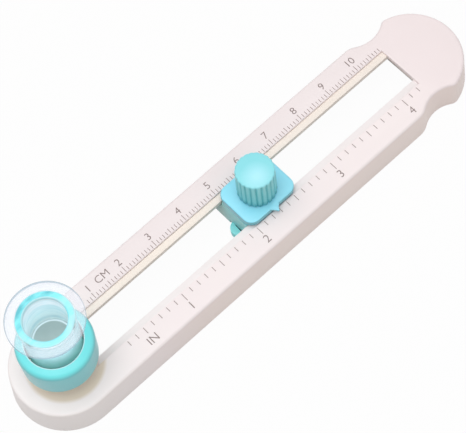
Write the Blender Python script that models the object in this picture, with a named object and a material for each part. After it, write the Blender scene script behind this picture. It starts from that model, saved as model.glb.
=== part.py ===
"""Circle cutter: a slotted beam that swings round a finger cup and carries a sliding blade.

Blender 4.5, metres, +Z up. The origin is on the pivot axis, at the table. +X runs along the beam to its
round head, and +Y is the centimetre scale's side. The inch scale is on the -Y side.
Run with: blender --background --python part.py
"""

import math

import bmesh
import bpy
from mathutils import Matrix, Vector

# Clearances and drawing fineness
GAP = 0.0003
RUN_CLEARANCE = 0.0005
FIT_CLEARANCE = 0.0001
OVERRUN = 0.002
ARC_STEP_DEGREES = 9
TURNED_SIDES = 40
SMALL_SIDES = 20
HEX_SIDES = 6
SMOOTH_ANGLE = math.radians(35)

# Beam outline, seen from above
BEAM_HEIGHT = 0.0095
BEAM_HALF_WIDTH = 0.0139
BEAM_DRAFT = 0.0003
BEAM_EDGE_RADIUS = 0.0008
BEAM_EDGE_STEPS = 3
HEAD_CENTRE_X = 0.1192
HEAD_RADIUS = 0.0139
WAIST_X = 0.117
WAIST_HALF_WIDTH = 0.0116
WAIST_HOLLOW_RADIUS = 0.0085
WAIST_SHOULDER_RADIUS = 0.0055
HEAD_CORNER_RADIUS = 0.0012

# Top shell
SHELL_WALL = 0.0013
SHELL_TOP = 0.0012
SLOT_START_RADIUS = 0.0085
SLOT_END_X = 0.1155
SLOT_HALF_WIDTH = 0.00665

# Slide frame under the shell, with the ledges that the carriage runs on
LEDGE_DEPTH = 0.00065
LEDGE_THICKNESS = 0.00165
LEDGE_OPENING_HALF_WIDTH = 0.0048
CHANNEL_HALF_WIDTH = 0.0082
FRAME_WALL = 0.0008
FRAME_END_WALL = 0.0008
FRAME_HEAD_ROOM = 0.003

# Base plate and its screws
BASE_THICKNESS = 0.0014
BASE_SCREW_RADIUS = 0.0006
BASE_SCREW_HEAD_RADIUS = 0.0011
BASE_SCREW_HEAD_THICKNESS = 0.0006
BASE_SCREW_LENGTH = 0.0048
BASE_SCREW_RECESS = 0.0002
BASE_BOSS_WALL = 0.0005
BASE_SCREW_PIVOT_ANGLE = math.radians(135)
BASE_SCREW_MIDDLE_X = 0.062
BASE_SCREW_HEAD_X = 0.1235
BASE_SCREW_HEAD_Y = 0.0075

# Scale and carriage travel
READING = 0.0575
READING_LEAST = 0.010

# Carriage plate
PLATE_LENGTH = 0.01625
PLATE_HALF_WIDTH = 0.00645
PLATE_RISE = 0.002
PLATE_CORNER_RADIUS = 0.0028
POINTER_BASE = 0.0031
POINTER_REACH = 0.0016
POINTER_TIP_WIDTH = 0.0003
POINTER_THICKNESS = 0.0007
PLATE_EDGE_THICKNESS = 0.0013
PLATE_STEP = 0.0008
PLATE_STEP_SET_BACK = 0.0002

# Carriage block under the plate
BLOCK_BOTTOM_Z = 0.0009
NECK_SIDE_CLEARANCE = 0.0003
KEEPER_LENGTH = 0.0094
KEEPER_THICKNESS = 0.0016
KEEPER_LIFT = 0.0005
CARRIAGE_SCREW_X = 0.0064
CARRIAGE_SCREW_Y = 0.0033
CARRIAGE_SCREW_RADIUS = 0.0007
CARRIAGE_SCREW_HEAD_RADIUS = 0.00125
CARRIAGE_SCREW_HEAD_THICKNESS = 0.0008
CARRIAGE_SCREW_RECESS = 0.0003
CARRIAGE_SCREW_BITE = 0.0014

# Blade and its holder
BLADE_THICKNESS = 0.00035
BLADE_HALF_WIDTH = 0.0022
BLADE_SET_BACK = 0.000825
BLADE_HEAD_ROOM = 0.0005
BLADE_TIP_Z = 0.00015
BLADE_SHOULDER_Z = 0.0021
BLADE_TIP_SHARE = -0.35
BLADE_Y = -0.0013
NOSE_RADIUS = 0.003
NOSE_SET_BACK = 0.0007
NOSE_TOP_Z = 0.0026
NOSE_SLIT = 0.0004
HOLDER_BOTTOM_Z = 0.0005
HOLDER_BRIDGE = 0.0005
TONGUE_THICKNESS = 0.0016
TONGUE_LENGTH = 0.0068
BLADE_SCREW_SET_BACK = 0.0044
BLADE_SCREW_RADIUS = 0.0007
BLADE_SCREW_HEAD_RADIUS = 0.0013
BLADE_SCREW_HEAD_THICKNESS = 0.0006

# Clamp knob, its screw, nut and washer
KNOB_BASE_RADIUS = 0.00515
KNOB_TOP_RADIUS = 0.00505
KNOB_HEIGHT = 0.0105
KNOB_DOME = 0.0004
KNOB_EDGE_RADIUS = 0.0004
KNOB_SEAT_GAP = 0.0004
KNOB_FLUTES = 22
KNOB_FLUTE_DEPTH = 0.0003
KNOB_FLUTE_POINTS = 4
CLAMP_SCREW_RADIUS = 0.0015
CLAMP_SCREW_HEAD_RADIUS = 0.0027
CLAMP_SCREW_HEAD_THICKNESS = 0.0018
CLAMP_SCREW_GRIP = 0.0045
NUT_RADIUS = 0.0026
NUT_THICKNESS = 0.0008
WASHER_RADIUS = 0.0033
WASHER_THICKNESS = 0.0006

# Pivot neck and collar
NECK_RADIUS = 0.00685
NECK_WALL = 0.00115
COLLAR_BOTTOM_RISE = 0.0055
COLLAR_TOP_RISE = 0.0154
COLLAR_RADIUS = 0.0098
COLLAR_BOTTOM_RADIUS = 0.00955
COLLAR_SHOULDER_RADIUS = 0.0091
COLLAR_TOP_FALL = 0.0008
COLLAR_SHOULDER_DROP = 0.0009
COLLAR_BORE_RADIUS = 0.00715
COLLAR_SEAT_DEPTH = 0.0032

# Pivot spindle, pad, washer and bush
PAD_THICKNESS = 0.001
FOOT_THICKNESS = 0.0013
FOOT_RUN_GAP = 0.0007
SPINDLE_RADIUS = 0.003
BUSH_FLANGE_THICKNESS = 0.0006
THRUST_WASHER_THICKNESS = 0.0005

# Finger cup
CUP_FLANGE_RADIUS = 0.00955
CUP_FLANGE_THICKNESS = 0.001
CUP_RIM_RISE = 0.0288
CUP_RADIUS = 0.00675
CUP_BORE_RADIUS = 0.00535
CUP_FLOOR_RISE = 0.016
CUP_FILLET = 0.0007
CUP_WEB = 0.0012
CAP_THICKNESS = 0.0008
CUP_SCREW_RADIUS = 0.0012
CUP_SCREW_HEAD_RADIUS = 0.0025
CUP_SCREW_HEAD_THICKNESS = 0.001
CUP_SCREW_LENGTH = 0.008

# Heights that the pieces share
SHELL_UNDERSIDE_Z = BEAM_HEIGHT - SHELL_TOP
FRAME_TOP_Z = SHELL_UNDERSIDE_Z - GAP
LEDGE_Z = BEAM_HEIGHT - LEDGE_DEPTH
LIP_BOTTOM_Z = LEDGE_Z - LEDGE_THICKNESS
FRAME_BOTTOM_Z = BASE_THICKNESS + GAP
PLATE_TOP_Z = BEAM_HEIGHT + PLATE_RISE
PLATE_BOTTOM_Z = LEDGE_Z + GAP
PLATE_EDGE_Z = PLATE_TOP_Z - PLATE_EDGE_THICKNESS
POINTER_BOTTOM_Z = PLATE_TOP_Z - POINTER_THICKNESS
BLOCK_TOP_Z = PLATE_BOTTOM_Z - GAP
SHOULDER_Z = LIP_BOTTOM_Z - GAP
KEEPER_BOTTOM_Z = SHOULDER_Z - KEEPER_THICKNESS
CAVITY_BOTTOM_Z = KEEPER_BOTTOM_Z - KEEPER_LIFT - GAP
BLADE_TOP_Z = CAVITY_BOTTOM_Z - BLADE_HEAD_ROOM
BLADE_SCREW_TIP_Z = CAVITY_BOTTOM_Z - GAP
FOOT_BOTTOM_Z = PAD_THICKNESS + GAP
FOOT_TOP_Z = FOOT_BOTTOM_Z + FOOT_THICKNESS
THRUST_WASHER_Z = FOOT_TOP_Z + GAP
NECK_BOTTOM_Z = THRUST_WASHER_Z + THRUST_WASHER_THICKNESS + GAP
COLLAR_BOTTOM_Z = BEAM_HEIGHT + COLLAR_BOTTOM_RISE
COLLAR_TOP_Z = BEAM_HEIGHT + COLLAR_TOP_RISE
NECK_TOP_Z = COLLAR_BOTTOM_Z + COLLAR_SEAT_DEPTH
BUSH_TOP_Z = NECK_TOP_Z + GAP + BUSH_FLANGE_THICKNESS
CUP_BOTTOM_Z = BUSH_TOP_Z + GAP
CUP_TOP_Z = BEAM_HEIGHT + CUP_RIM_RISE
CUP_FLOOR_Z = BEAM_HEIGHT + CUP_FLOOR_RISE
CAP_BOTTOM_Z = CUP_FLOOR_Z - CAP_THICKNESS
CUP_SCREW_HEAD_Z = CAP_BOTTOM_Z - GAP - CUP_SCREW_HEAD_THICKNESS
CUP_SCREW_TIP_Z = CUP_SCREW_HEAD_Z - CUP_SCREW_LENGTH
CUP_WEB_TOP_Z = CUP_SCREW_HEAD_Z - GAP
CUP_WEB_BOTTOM_Z = CUP_WEB_TOP_Z - CUP_WEB
SPINDLE_TOP_Z = CUP_WEB_BOTTOM_Z - GAP
KNOB_BOTTOM_Z = PLATE_TOP_Z + KNOB_SEAT_GAP
KNOB_EDGE_Z = KNOB_BOTTOM_Z + KNOB_HEIGHT
WASHER_Z = PLATE_TOP_Z + FIT_CLEARANCE
WASHER_TOP_Z = WASHER_Z + WASHER_THICKNESS
CLAMP_SCREW_HEAD_Z = KNOB_BOTTOM_Z + CLAMP_SCREW_GRIP
CLAMP_SCREW_HEAD_TOP_Z = CLAMP_SCREW_HEAD_Z + CLAMP_SCREW_HEAD_THICKNESS

# Places that the pieces share
BLOCK_HALF_LENGTH = PLATE_LENGTH / 2
SCALE_ZERO_X = BLOCK_HALF_LENGTH - BLADE_SET_BACK
POINTER_X = SCALE_ZERO_X + READING
POINTER_LEAST_X = SCALE_ZERO_X + READING_LEAST
BLADE_X = -SCALE_ZERO_X
NOSE_X = NOSE_SET_BACK - BLOCK_HALF_LENGTH
NOSE_BACK_X = -BLOCK_HALF_LENGTH - NOSE_SLIT
NOSE_LEAST_X = POINTER_LEAST_X + NOSE_X - NOSE_RADIUS
LOW_SLOT_START_X = NOSE_LEAST_X - RUN_CLEARANCE
FOOT_RADIUS = NOSE_LEAST_X - FOOT_RUN_GAP
CHANNEL_END_X = SLOT_END_X + FRAME_HEAD_ROOM
FRAME_OUTER_HALF_WIDTH = CHANNEL_HALF_WIDTH + FRAME_WALL
BASE_INSET = SHELL_WALL + GAP
BASE_BOSS_RADIUS = BASE_SCREW_RADIUS + BASE_BOSS_WALL
NECK_BORE_RADIUS = NECK_RADIUS - NECK_WALL
SPINDLE_BORE_RADIUS = SPINDLE_RADIUS + GAP
CUP_SCREW_HOLE_RADIUS = CUP_SCREW_RADIUS + GAP
CLAMP_BORE_RADIUS = CLAMP_SCREW_RADIUS + GAP
BLOCK_HALF_WIDTH = CHANNEL_HALF_WIDTH - GAP
BLOCK_NECK_HALF_WIDTH = LEDGE_OPENING_HALF_WIDTH - NECK_SIDE_CLEARANCE
CAVITY_HALF_LENGTH = KEEPER_LENGTH / 2 + GAP


# Outlines
def arc(centre, radius, start, end):
    """Points on a circle from one angle to another, in radians, both ends included."""
    if radius <= 0:
        return [Vector(centre)]
    steps = max(1, round(abs(end - start) / math.radians(ARC_STEP_DEGREES)))
    angles = [start + (end - start) * step / steps for step in range(steps + 1)]
    return [Vector((centre[0] + radius * math.cos(a), centre[1] + radius * math.sin(a))) for a in angles]


def angle_to(centre, point):
    return math.atan2(point[1] - centre[1], point[0] - centre[0])


def circle_crossing(first, first_radius, second, second_radius):
    """The crossing of two circles that lies on the +X side."""
    first, second = Vector(first), Vector(second)
    line = second - first
    along = (line.length_squared + first_radius**2 - second_radius**2) / (2 * line.length)
    across = math.sqrt(max(first_radius**2 - along**2, 0))
    unit = line.normalized()
    return first + unit * along + Vector((abs(unit.y), -unit.x)) * across


def beam_outline(inset):
    """The beam's outline from above, drawn in by inset: round end, straight sides, waist and round head."""
    end_radius = BEAM_HALF_WIDTH - inset
    head_radius = HEAD_RADIUS - inset
    hollow_radius = WAIST_HOLLOW_RADIUS + inset
    shoulder_radius = max(WAIST_SHOULDER_RADIUS - inset, 0)
    corner_radius = max(HEAD_CORNER_RADIUS - inset, 0)
    head = (HEAD_CENTRE_X, 0)
    hollow = (WAIST_X, WAIST_HALF_WIDTH + WAIST_HOLLOW_RADIUS)
    shoulder_y = end_radius - shoulder_radius
    reach = hollow_radius + shoulder_radius
    shoulder = (hollow[0] - math.sqrt(reach**2 - (hollow[1] - shoulder_y) ** 2), shoulder_y)
    corner = circle_crossing(head, head_radius - corner_radius, hollow, hollow_radius + corner_radius)
    upper = arc((0, 0), end_radius, math.pi, math.pi / 2)
    upper += arc(shoulder, shoulder_radius, math.pi / 2, angle_to(shoulder, hollow))
    low_start = angle_to(hollow, shoulder) + 2 * math.pi
    low_end = angle_to(hollow, corner) + 2 * math.pi
    upper += arc(hollow, hollow_radius, low_start, low_end)[1:]
    upper += arc(corner, corner_radius, angle_to(corner, hollow), angle_to(head, corner))[1:-1]
    upper += arc(head, head_radius, angle_to(head, corner), 0)[corner_radius <= 0 :]
    lower = [Vector((point.x, -point.y)) for point in reversed(upper[1:-1])]
    return upper + lower


def rounded_rectangle(half_x, half_y, radius):
    corners = ((1, 1, 0), (-1, 1, 1), (-1, -1, 2), (1, -1, 3))
    points = []
    for side_x, side_y, quarter in corners:
        centre = (side_x * (half_x - radius), side_y * (half_y - radius))
        start = quarter * math.pi / 2
        points += arc(centre, radius, start, start + math.pi / 2)
    return points


def ring_of_points(radius, sides, centre=(0, 0)):
    turns = [2 * math.pi * side / sides for side in range(sides)]
    return [Vector((centre[0] + radius * math.cos(a), centre[1] + radius * math.sin(a))) for a in turns]


# Solids
def loft(rings):
    """A closed body through rings of points with equal counts: each ring is (points, z)."""
    body = bmesh.new()
    loops = [[body.verts.new((point.x, point.y, z)) for point in points] for points, z in rings]
    for lower, upper in zip(loops, loops[1:]):
        for index in range(len(lower)):
            following = (index + 1) % len(lower)
            body.faces.new((lower[index], lower[following], upper[following], upper[index]))
    body.faces.new(loops[0])
    body.faces.new(loops[-1])
    bmesh.ops.recalc_face_normals(body, faces=body.faces)
    return body


def prism(points, low, high):
    return loft([(points, low), (points, high)])


def prism_along_x(points, low, high):
    """A prism along X from (y, z) points."""
    body = prism([Vector(point) for point in points], low, high)
    turn = Matrix(((0, 0, 1), (1, 0, 0), (0, 1, 0))).to_4x4()
    bmesh.ops.transform(body, matrix=turn, verts=body.verts)
    return body


def box(low, high):
    """A box from its low corner to its high corner."""
    corners = [(low[0], low[1]), (high[0], low[1]), (high[0], high[1]), (low[0], high[1])]
    return prism([Vector(corner) for corner in corners], low[2], high[2])


def cylinder(centre, radius, low, high, sides=SMALL_SIDES):
    return prism(ring_of_points(radius, sides, centre), low, high)


def turned(profile, sides=TURNED_SIDES):
    """A body turned about Z from (radius, z) points: a closed ring where no point is on the axis."""
    body = bmesh.new()
    rings = []
    for radius, z in profile:
        if radius == 0:
            rings.append([body.verts.new((0, 0, z))])
        else:
            rings.append([body.verts.new((p.x, p.y, z)) for p in ring_of_points(radius, sides)])
    pairs = list(zip(rings, rings[1:]))
    if all(len(ring) > 1 for ring in rings):
        pairs.append((rings[-1], rings[0]))
    for first, second in pairs:
        for side in range(sides):
            following = (side + 1) % sides
            corners = [first[side % len(first)], first[following % len(first)]]
            corners += [second[following % len(second)], second[side % len(second)]]
            unique = list(dict.fromkeys(corners))
            if len(unique) > 2:
                body.faces.new(unique)
    bmesh.ops.recalc_face_normals(body, faces=body.faces)
    return body


def merged(bodies):
    """Several separate bodies in one mesh."""
    whole = bmesh.new()
    for body in bodies:
        mesh = bpy.data.meshes.new("copy")
        body.to_mesh(mesh)
        body.free()
        whole.from_mesh(mesh)
        bpy.data.meshes.remove(mesh)
    return whole


def moved(body, offset):
    bmesh.ops.translate(body, verts=body.verts, vec=offset)
    return body


# Scene helpers
def clear_scene():
    for item in list(bpy.data.objects):
        bpy.data.objects.remove(item, do_unlink=True)


def make_material(name, colour, roughness, metallic=0.0, transmission=0.0):
    material = bpy.data.materials.new(name)
    material.use_nodes = True
    shader = material.node_tree.nodes["Principled BSDF"]
    shader.inputs["Base Color"].default_value = (*colour, 1)
    shader.inputs["Roughness"].default_value = roughness
    shader.inputs["Metallic"].default_value = metallic
    shader.inputs["Transmission Weight"].default_value = transmission
    return material


def add_object(name, body, parent=None):
    mesh = bpy.data.meshes.new(name)
    body.to_mesh(mesh)
    body.free()
    mesh.shade_smooth()
    mesh.set_sharp_from_angle(angle=SMOOTH_ANGLE)
    item = bpy.data.objects.new(name, mesh)
    bpy.context.scene.collection.objects.link(item)
    item.parent = parent
    return item


def add_piece(name, body, material, parent=None):
    item = add_object(name, body, parent)
    item.data.materials.append(material)
    return item


def add_copies(name, body, places, material, parent=None):
    """One object for each place, all sharing one mesh."""
    first = add_piece(f"{name}_1", body, material, parent)
    first.location = (*places[0], 0)
    for number, place in enumerate(places[1:], start=2):
        copy = bpy.data.objects.new(f"{name}_{number}", first.data)
        bpy.context.scene.collection.objects.link(copy)
        copy.parent = parent
        copy.location = (*place, 0)


def add_axis(name, place, parent=None):
    """An empty that carries the pieces of one moving body, on its joint's axis."""
    item = bpy.data.objects.new(name, None)
    bpy.context.scene.collection.objects.link(item)
    item.parent = parent
    item.location = place
    return item


def shape(item, operation, name, body):
    helper = add_object(f"{item.name}_{name}", body, item.parent)
    helper.hide_render = True
    helper.display_type = "WIRE"
    boolean = item.modifiers.new(name, "BOOLEAN")
    boolean.operation = operation
    boolean.solver = "EXACT"
    boolean.object = helper


def cut(item, name, body):
    shape(item, "DIFFERENCE", name, body)


def join(item, name, body):
    shape(item, "UNION", name, body)


# Beam
def base_screw_places():
    """The six screws that hold the base plate: round the pivot, half way along and in the head."""
    side = (FRAME_OUTER_HALF_WIDTH + BEAM_HALF_WIDTH - SHELL_WALL) / 2
    pivot = (side * math.cos(BASE_SCREW_PIVOT_ANGLE), side * math.sin(BASE_SCREW_PIVOT_ANGLE))
    middle = (BASE_SCREW_MIDDLE_X, side)
    head = (BASE_SCREW_HEAD_X, BASE_SCREW_HEAD_Y)
    return [(x, hand * y) for x, y in (pivot, middle, head) for hand in (1, -1)]


def rounded_beam():
    """The beam's solid envelope: its walls lean in towards the top, and its top edge is rounded."""
    rings = [(beam_outline(-BEAM_DRAFT), 0)]
    for step in range(BEAM_EDGE_STEPS + 1):
        turn = math.pi / 2 * step / BEAM_EDGE_STEPS
        inset = BEAM_DRAFT + BEAM_EDGE_RADIUS * (1 - math.cos(turn))
        rings.append((beam_outline(inset), BEAM_HEIGHT - BEAM_EDGE_RADIUS * (1 - math.sin(turn))))
    return loft(rings)


def make_top_shell(material):
    shell = add_piece("top_shell", rounded_beam(), material)
    cut(shell, "hollow", prism(beam_outline(SHELL_WALL), -OVERRUN, SHELL_UNDERSIDE_Z))
    slot = slot_outline(SLOT_START_RADIUS, SLOT_HALF_WIDTH, SLOT_END_X)
    cut(shell, "slot", prism(slot, SHELL_UNDERSIDE_Z - OVERRUN, BEAM_HEIGHT + OVERRUN))
    join(shell, "neck", cylinder((0, 0), NECK_RADIUS, NECK_BOTTOM_Z, NECK_TOP_Z, TURNED_SIDES))
    bore = cylinder((0, 0), NECK_BORE_RADIUS, NECK_BOTTOM_Z - OVERRUN, NECK_TOP_Z + OVERRUN, TURNED_SIDES)
    cut(shell, "neck_bore", bore)
    boss_top = BEAM_HEIGHT - SHELL_TOP / 2
    places = base_screw_places()
    bosses = [cylinder(place, BASE_BOSS_RADIUS, FRAME_BOTTOM_Z, boss_top) for place in places]
    join(shell, "screw_bosses", merged(bosses))
    hole_radius = BASE_SCREW_RADIUS + FIT_CLEARANCE
    holes = [cylinder(p, hole_radius, FRAME_BOTTOM_Z - OVERRUN, SHELL_UNDERSIDE_Z - GAP) for p in places]
    cut(shell, "screw_holes", merged(holes))


def slot_outline(radius, half_width, end_x):
    """An arc round the pivot at one end and square in the head."""
    side = math.asin(half_width / radius)
    return arc((0, 0), radius, side, -side) + [Vector((end_x, -half_width)), Vector((end_x, half_width))]


def frame_outline(half_width, end_x):
    """Round at the pivot end and square in the head."""
    points = arc((0, 0), half_width, math.pi / 2, 3 * math.pi / 2)
    return points + [Vector((end_x, -half_width)), Vector((end_x, half_width))]


def make_slide_frame(material):
    """Two ledged rails in one frame, open below, with a web round the pivot neck and a wall in the head."""
    outline = frame_outline(FRAME_OUTER_HALF_WIDTH, CHANNEL_END_X + FRAME_END_WALL)
    frame = add_piece("slide_frame", prism(outline, FRAME_BOTTOM_Z, FRAME_TOP_Z), material)
    lips = slot_outline(SLOT_START_RADIUS + GAP, SLOT_HALF_WIDTH - GAP, SLOT_END_X - GAP)
    join(frame, "lips", prism(lips, (LIP_BOTTOM_Z + FRAME_TOP_Z) / 2, LEDGE_Z))
    channel = prism(frame_outline(CHANNEL_HALF_WIDTH, CHANNEL_END_X), FRAME_BOTTOM_Z - OVERRUN, LIP_BOTTOM_Z)
    cut(frame, "channel", channel)
    opening = slot_outline(SLOT_START_RADIUS, LEDGE_OPENING_HALF_WIDTH, CHANNEL_END_X - GAP)
    cut(frame, "opening", prism(opening, LIP_BOTTOM_Z - OVERRUN, LEDGE_Z + OVERRUN))
    hole_radius = NECK_RADIUS + GAP
    hole = cylinder((0, 0), hole_radius, LIP_BOTTOM_Z - OVERRUN, FRAME_TOP_Z + OVERRUN, TURNED_SIDES)
    cut(frame, "neck_hole", hole)


def make_base_plate(material):
    plate = add_piece("base_plate", prism(beam_outline(BASE_INSET), 0, BASE_THICKNESS), material)
    slot_low = (LOW_SLOT_START_X, -CHANNEL_HALF_WIDTH, -OVERRUN)
    slot_high = (CHANNEL_END_X, CHANNEL_HALF_WIDTH, BASE_THICKNESS + OVERRUN)
    cut(plate, "slot", box(slot_low, slot_high))
    hole_radius = FOOT_RADIUS + RUN_CLEARANCE
    cut(plate, "foot_hole", cylinder((0, 0), hole_radius, -OVERRUN, BASE_THICKNESS + OVERRUN, TURNED_SIDES))
    places = base_screw_places()
    shaft_radius = BASE_SCREW_RADIUS + FIT_CLEARANCE
    holes = [cylinder(place, shaft_radius, -OVERRUN, BASE_THICKNESS + OVERRUN) for place in places]
    cut(plate, "screw_holes", merged(holes))
    seat_radius = BASE_SCREW_HEAD_RADIUS + FIT_CLEARANCE
    seat_top = BASE_SCREW_RECESS + BASE_SCREW_HEAD_THICKNESS + FIT_CLEARANCE
    cut(plate, "head_seats", merged([cylinder(place, seat_radius, -OVERRUN, seat_top) for place in places]))


def screw_body(shaft_radius, head_radius, head_low, head_thickness, tip_z):
    """A screw whose head is below and whose shaft points up to tip_z."""
    neck_z = head_low + head_thickness
    profile = [(0, head_low), (head_radius, head_low), (head_radius, neck_z)]
    profile += [(shaft_radius, neck_z), (shaft_radius, tip_z - shaft_radius / 2), (0, tip_z)]
    return turned(profile, SMALL_SIDES)


def make_base_screws(material):
    tip_z = BASE_SCREW_RECESS + BASE_SCREW_LENGTH
    head = (BASE_SCREW_HEAD_RADIUS, BASE_SCREW_RECESS, BASE_SCREW_HEAD_THICKNESS)
    add_copies("base_screw", screw_body(BASE_SCREW_RADIUS, *head, tip_z), base_screw_places(), material)


def make_pivot_collar(material):
    shoulder_z = COLLAR_TOP_Z - COLLAR_TOP_FALL
    side_z = shoulder_z - COLLAR_SHOULDER_DROP
    profile = [
        (COLLAR_BORE_RADIUS, COLLAR_TOP_Z),
        (COLLAR_SHOULDER_RADIUS, shoulder_z),
        (COLLAR_RADIUS, side_z),
        (COLLAR_BOTTOM_RADIUS, COLLAR_BOTTOM_Z),
        (COLLAR_BORE_RADIUS, COLLAR_BOTTOM_Z),
    ]
    add_piece("pivot_collar", turned(profile), material)


def make_bearing_bush(material):
    outer = NECK_BORE_RADIUS - GAP
    flange_z = NECK_TOP_Z + GAP
    profile = [
        (SPINDLE_BORE_RADIUS, BUSH_TOP_Z),
        (NECK_RADIUS - GAP, BUSH_TOP_Z),
        (NECK_RADIUS - GAP, flange_z),
        (outer, flange_z),
        (outer, NECK_BOTTOM_Z),
        (SPINDLE_BORE_RADIUS, NECK_BOTTOM_Z),
    ]
    add_piece("bearing_bush", turned(profile), material)


# Pivot, which stands still under the finger while the beam swings
def make_pad(material, parent):
    body = cylinder((0, 0), FOOT_RADIUS, 0, PAD_THICKNESS, TURNED_SIDES)
    add_piece("non_slip_pad", body, material, parent)


def make_spindle(material, parent):
    profile = [
        (0, FOOT_BOTTOM_Z),
        (FOOT_RADIUS, FOOT_BOTTOM_Z),
        (FOOT_RADIUS, FOOT_TOP_Z),
        (SPINDLE_RADIUS, FOOT_TOP_Z),
        (SPINDLE_RADIUS, SPINDLE_TOP_Z),
        (0, SPINDLE_TOP_Z),
    ]
    spindle = add_piece("pivot_spindle", turned(profile), material, parent)
    hole = cylinder((0, 0), CUP_SCREW_HOLE_RADIUS, CUP_SCREW_TIP_Z - GAP, SPINDLE_TOP_Z + OVERRUN)
    cut(spindle, "screw_hole", hole)


def make_thrust_washer(material, parent):
    top = THRUST_WASHER_Z + THRUST_WASHER_THICKNESS
    radius = FOOT_RADIUS - GAP
    profile = [(SPINDLE_BORE_RADIUS, top), (radius, top)]
    profile += [(radius, THRUST_WASHER_Z), (SPINDLE_BORE_RADIUS, THRUST_WASHER_Z)]
    add_piece("thrust_washer", turned(profile), material, parent)


def make_cup_screw(material, parent):
    head_top = CUP_SCREW_HEAD_Z + CUP_SCREW_HEAD_THICKNESS
    profile = [
        (0, head_top),
        (CUP_SCREW_HEAD_RADIUS, head_top),
        (CUP_SCREW_HEAD_RADIUS, CUP_SCREW_HEAD_Z),
        (CUP_SCREW_RADIUS, CUP_SCREW_HEAD_Z),
        (CUP_SCREW_RADIUS, CUP_SCREW_TIP_Z),
        (0, CUP_SCREW_TIP_Z),
    ]
    add_piece("cup_screw", turned(profile, SMALL_SIDES), material, parent)


def make_cup_cap(material, parent):
    body = cylinder((0, 0), CUP_BORE_RADIUS - GAP, CAP_BOTTOM_Z, CUP_FLOOR_Z, TURNED_SIDES)
    add_piece("cup_cap", body, material, parent)


def make_finger_cup(material, parent):
    flange_bottom = CUP_TOP_Z - CUP_FLANGE_THICKNESS
    profile = [
        (CUP_BORE_RADIUS, CUP_TOP_Z),
        (CUP_FLANGE_RADIUS, CUP_TOP_Z),
        (CUP_FLANGE_RADIUS, flange_bottom),
        (CUP_RADIUS + CUP_FILLET, flange_bottom),
        (CUP_RADIUS, flange_bottom - CUP_FILLET),
        (CUP_RADIUS, CUP_BOTTOM_Z),
        (SPINDLE_BORE_RADIUS, CUP_BOTTOM_Z),
        (SPINDLE_BORE_RADIUS, CUP_WEB_BOTTOM_Z),
        (CUP_SCREW_HOLE_RADIUS, CUP_WEB_BOTTOM_Z),
        (CUP_SCREW_HOLE_RADIUS, CUP_WEB_TOP_Z),
        (CUP_BORE_RADIUS, CUP_WEB_TOP_Z),
    ]
    add_piece("finger_cup", turned(profile), material, parent)


# Carriage
def carriage_screw_places():
    return [(-CARRIAGE_SCREW_X, CARRIAGE_SCREW_Y), (CARRIAGE_SCREW_X, -CARRIAGE_SCREW_Y)]


def make_carriage_plate(material, parent):
    outline = rounded_rectangle(BLOCK_HALF_LENGTH, PLATE_HALF_WIDTH, PLATE_CORNER_RADIUS)
    plate = add_piece("carriage_plate", prism(outline, PLATE_EDGE_Z, PLATE_TOP_Z), material, parent)
    step_half_length = BLOCK_HALF_LENGTH - PLATE_STEP_SET_BACK
    step = rounded_rectangle(step_half_length, PLATE_HALF_WIDTH - PLATE_STEP, PLATE_CORNER_RADIUS)
    join(plate, "step", prism(step, PLATE_BOTTOM_Z, (PLATE_EDGE_Z + PLATE_TOP_Z) / 2))
    root_y = -PLATE_HALF_WIDTH + PLATE_CORNER_RADIUS / 2
    tip_y = -PLATE_HALF_WIDTH - POINTER_REACH
    half_base = POINTER_BASE / 2
    half_tip = POINTER_TIP_WIDTH / 2
    pointer = [(-half_base, root_y), (-half_base, -PLATE_HALF_WIDTH), (-half_tip, tip_y)]
    pointer += [(half_tip, tip_y), (half_base, -PLATE_HALF_WIDTH), (half_base, root_y)]
    join(plate, "pointer", prism([Vector(point) for point in pointer], POINTER_BOTTOM_Z, PLATE_TOP_Z))
    bore = cylinder((0, 0), CLAMP_BORE_RADIUS, PLATE_BOTTOM_Z - OVERRUN, PLATE_TOP_Z + OVERRUN)
    cut(plate, "screw_bore", bore)
    hole_radius = CARRIAGE_SCREW_RADIUS + FIT_CLEARANCE
    hole_top = PLATE_BOTTOM_Z + CARRIAGE_SCREW_BITE + GAP
    places = carriage_screw_places()
    holes = [cylinder(place, hole_radius, PLATE_BOTTOM_Z - OVERRUN, hole_top) for place in places]
    cut(plate, "fixing_holes", merged(holes))


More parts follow.
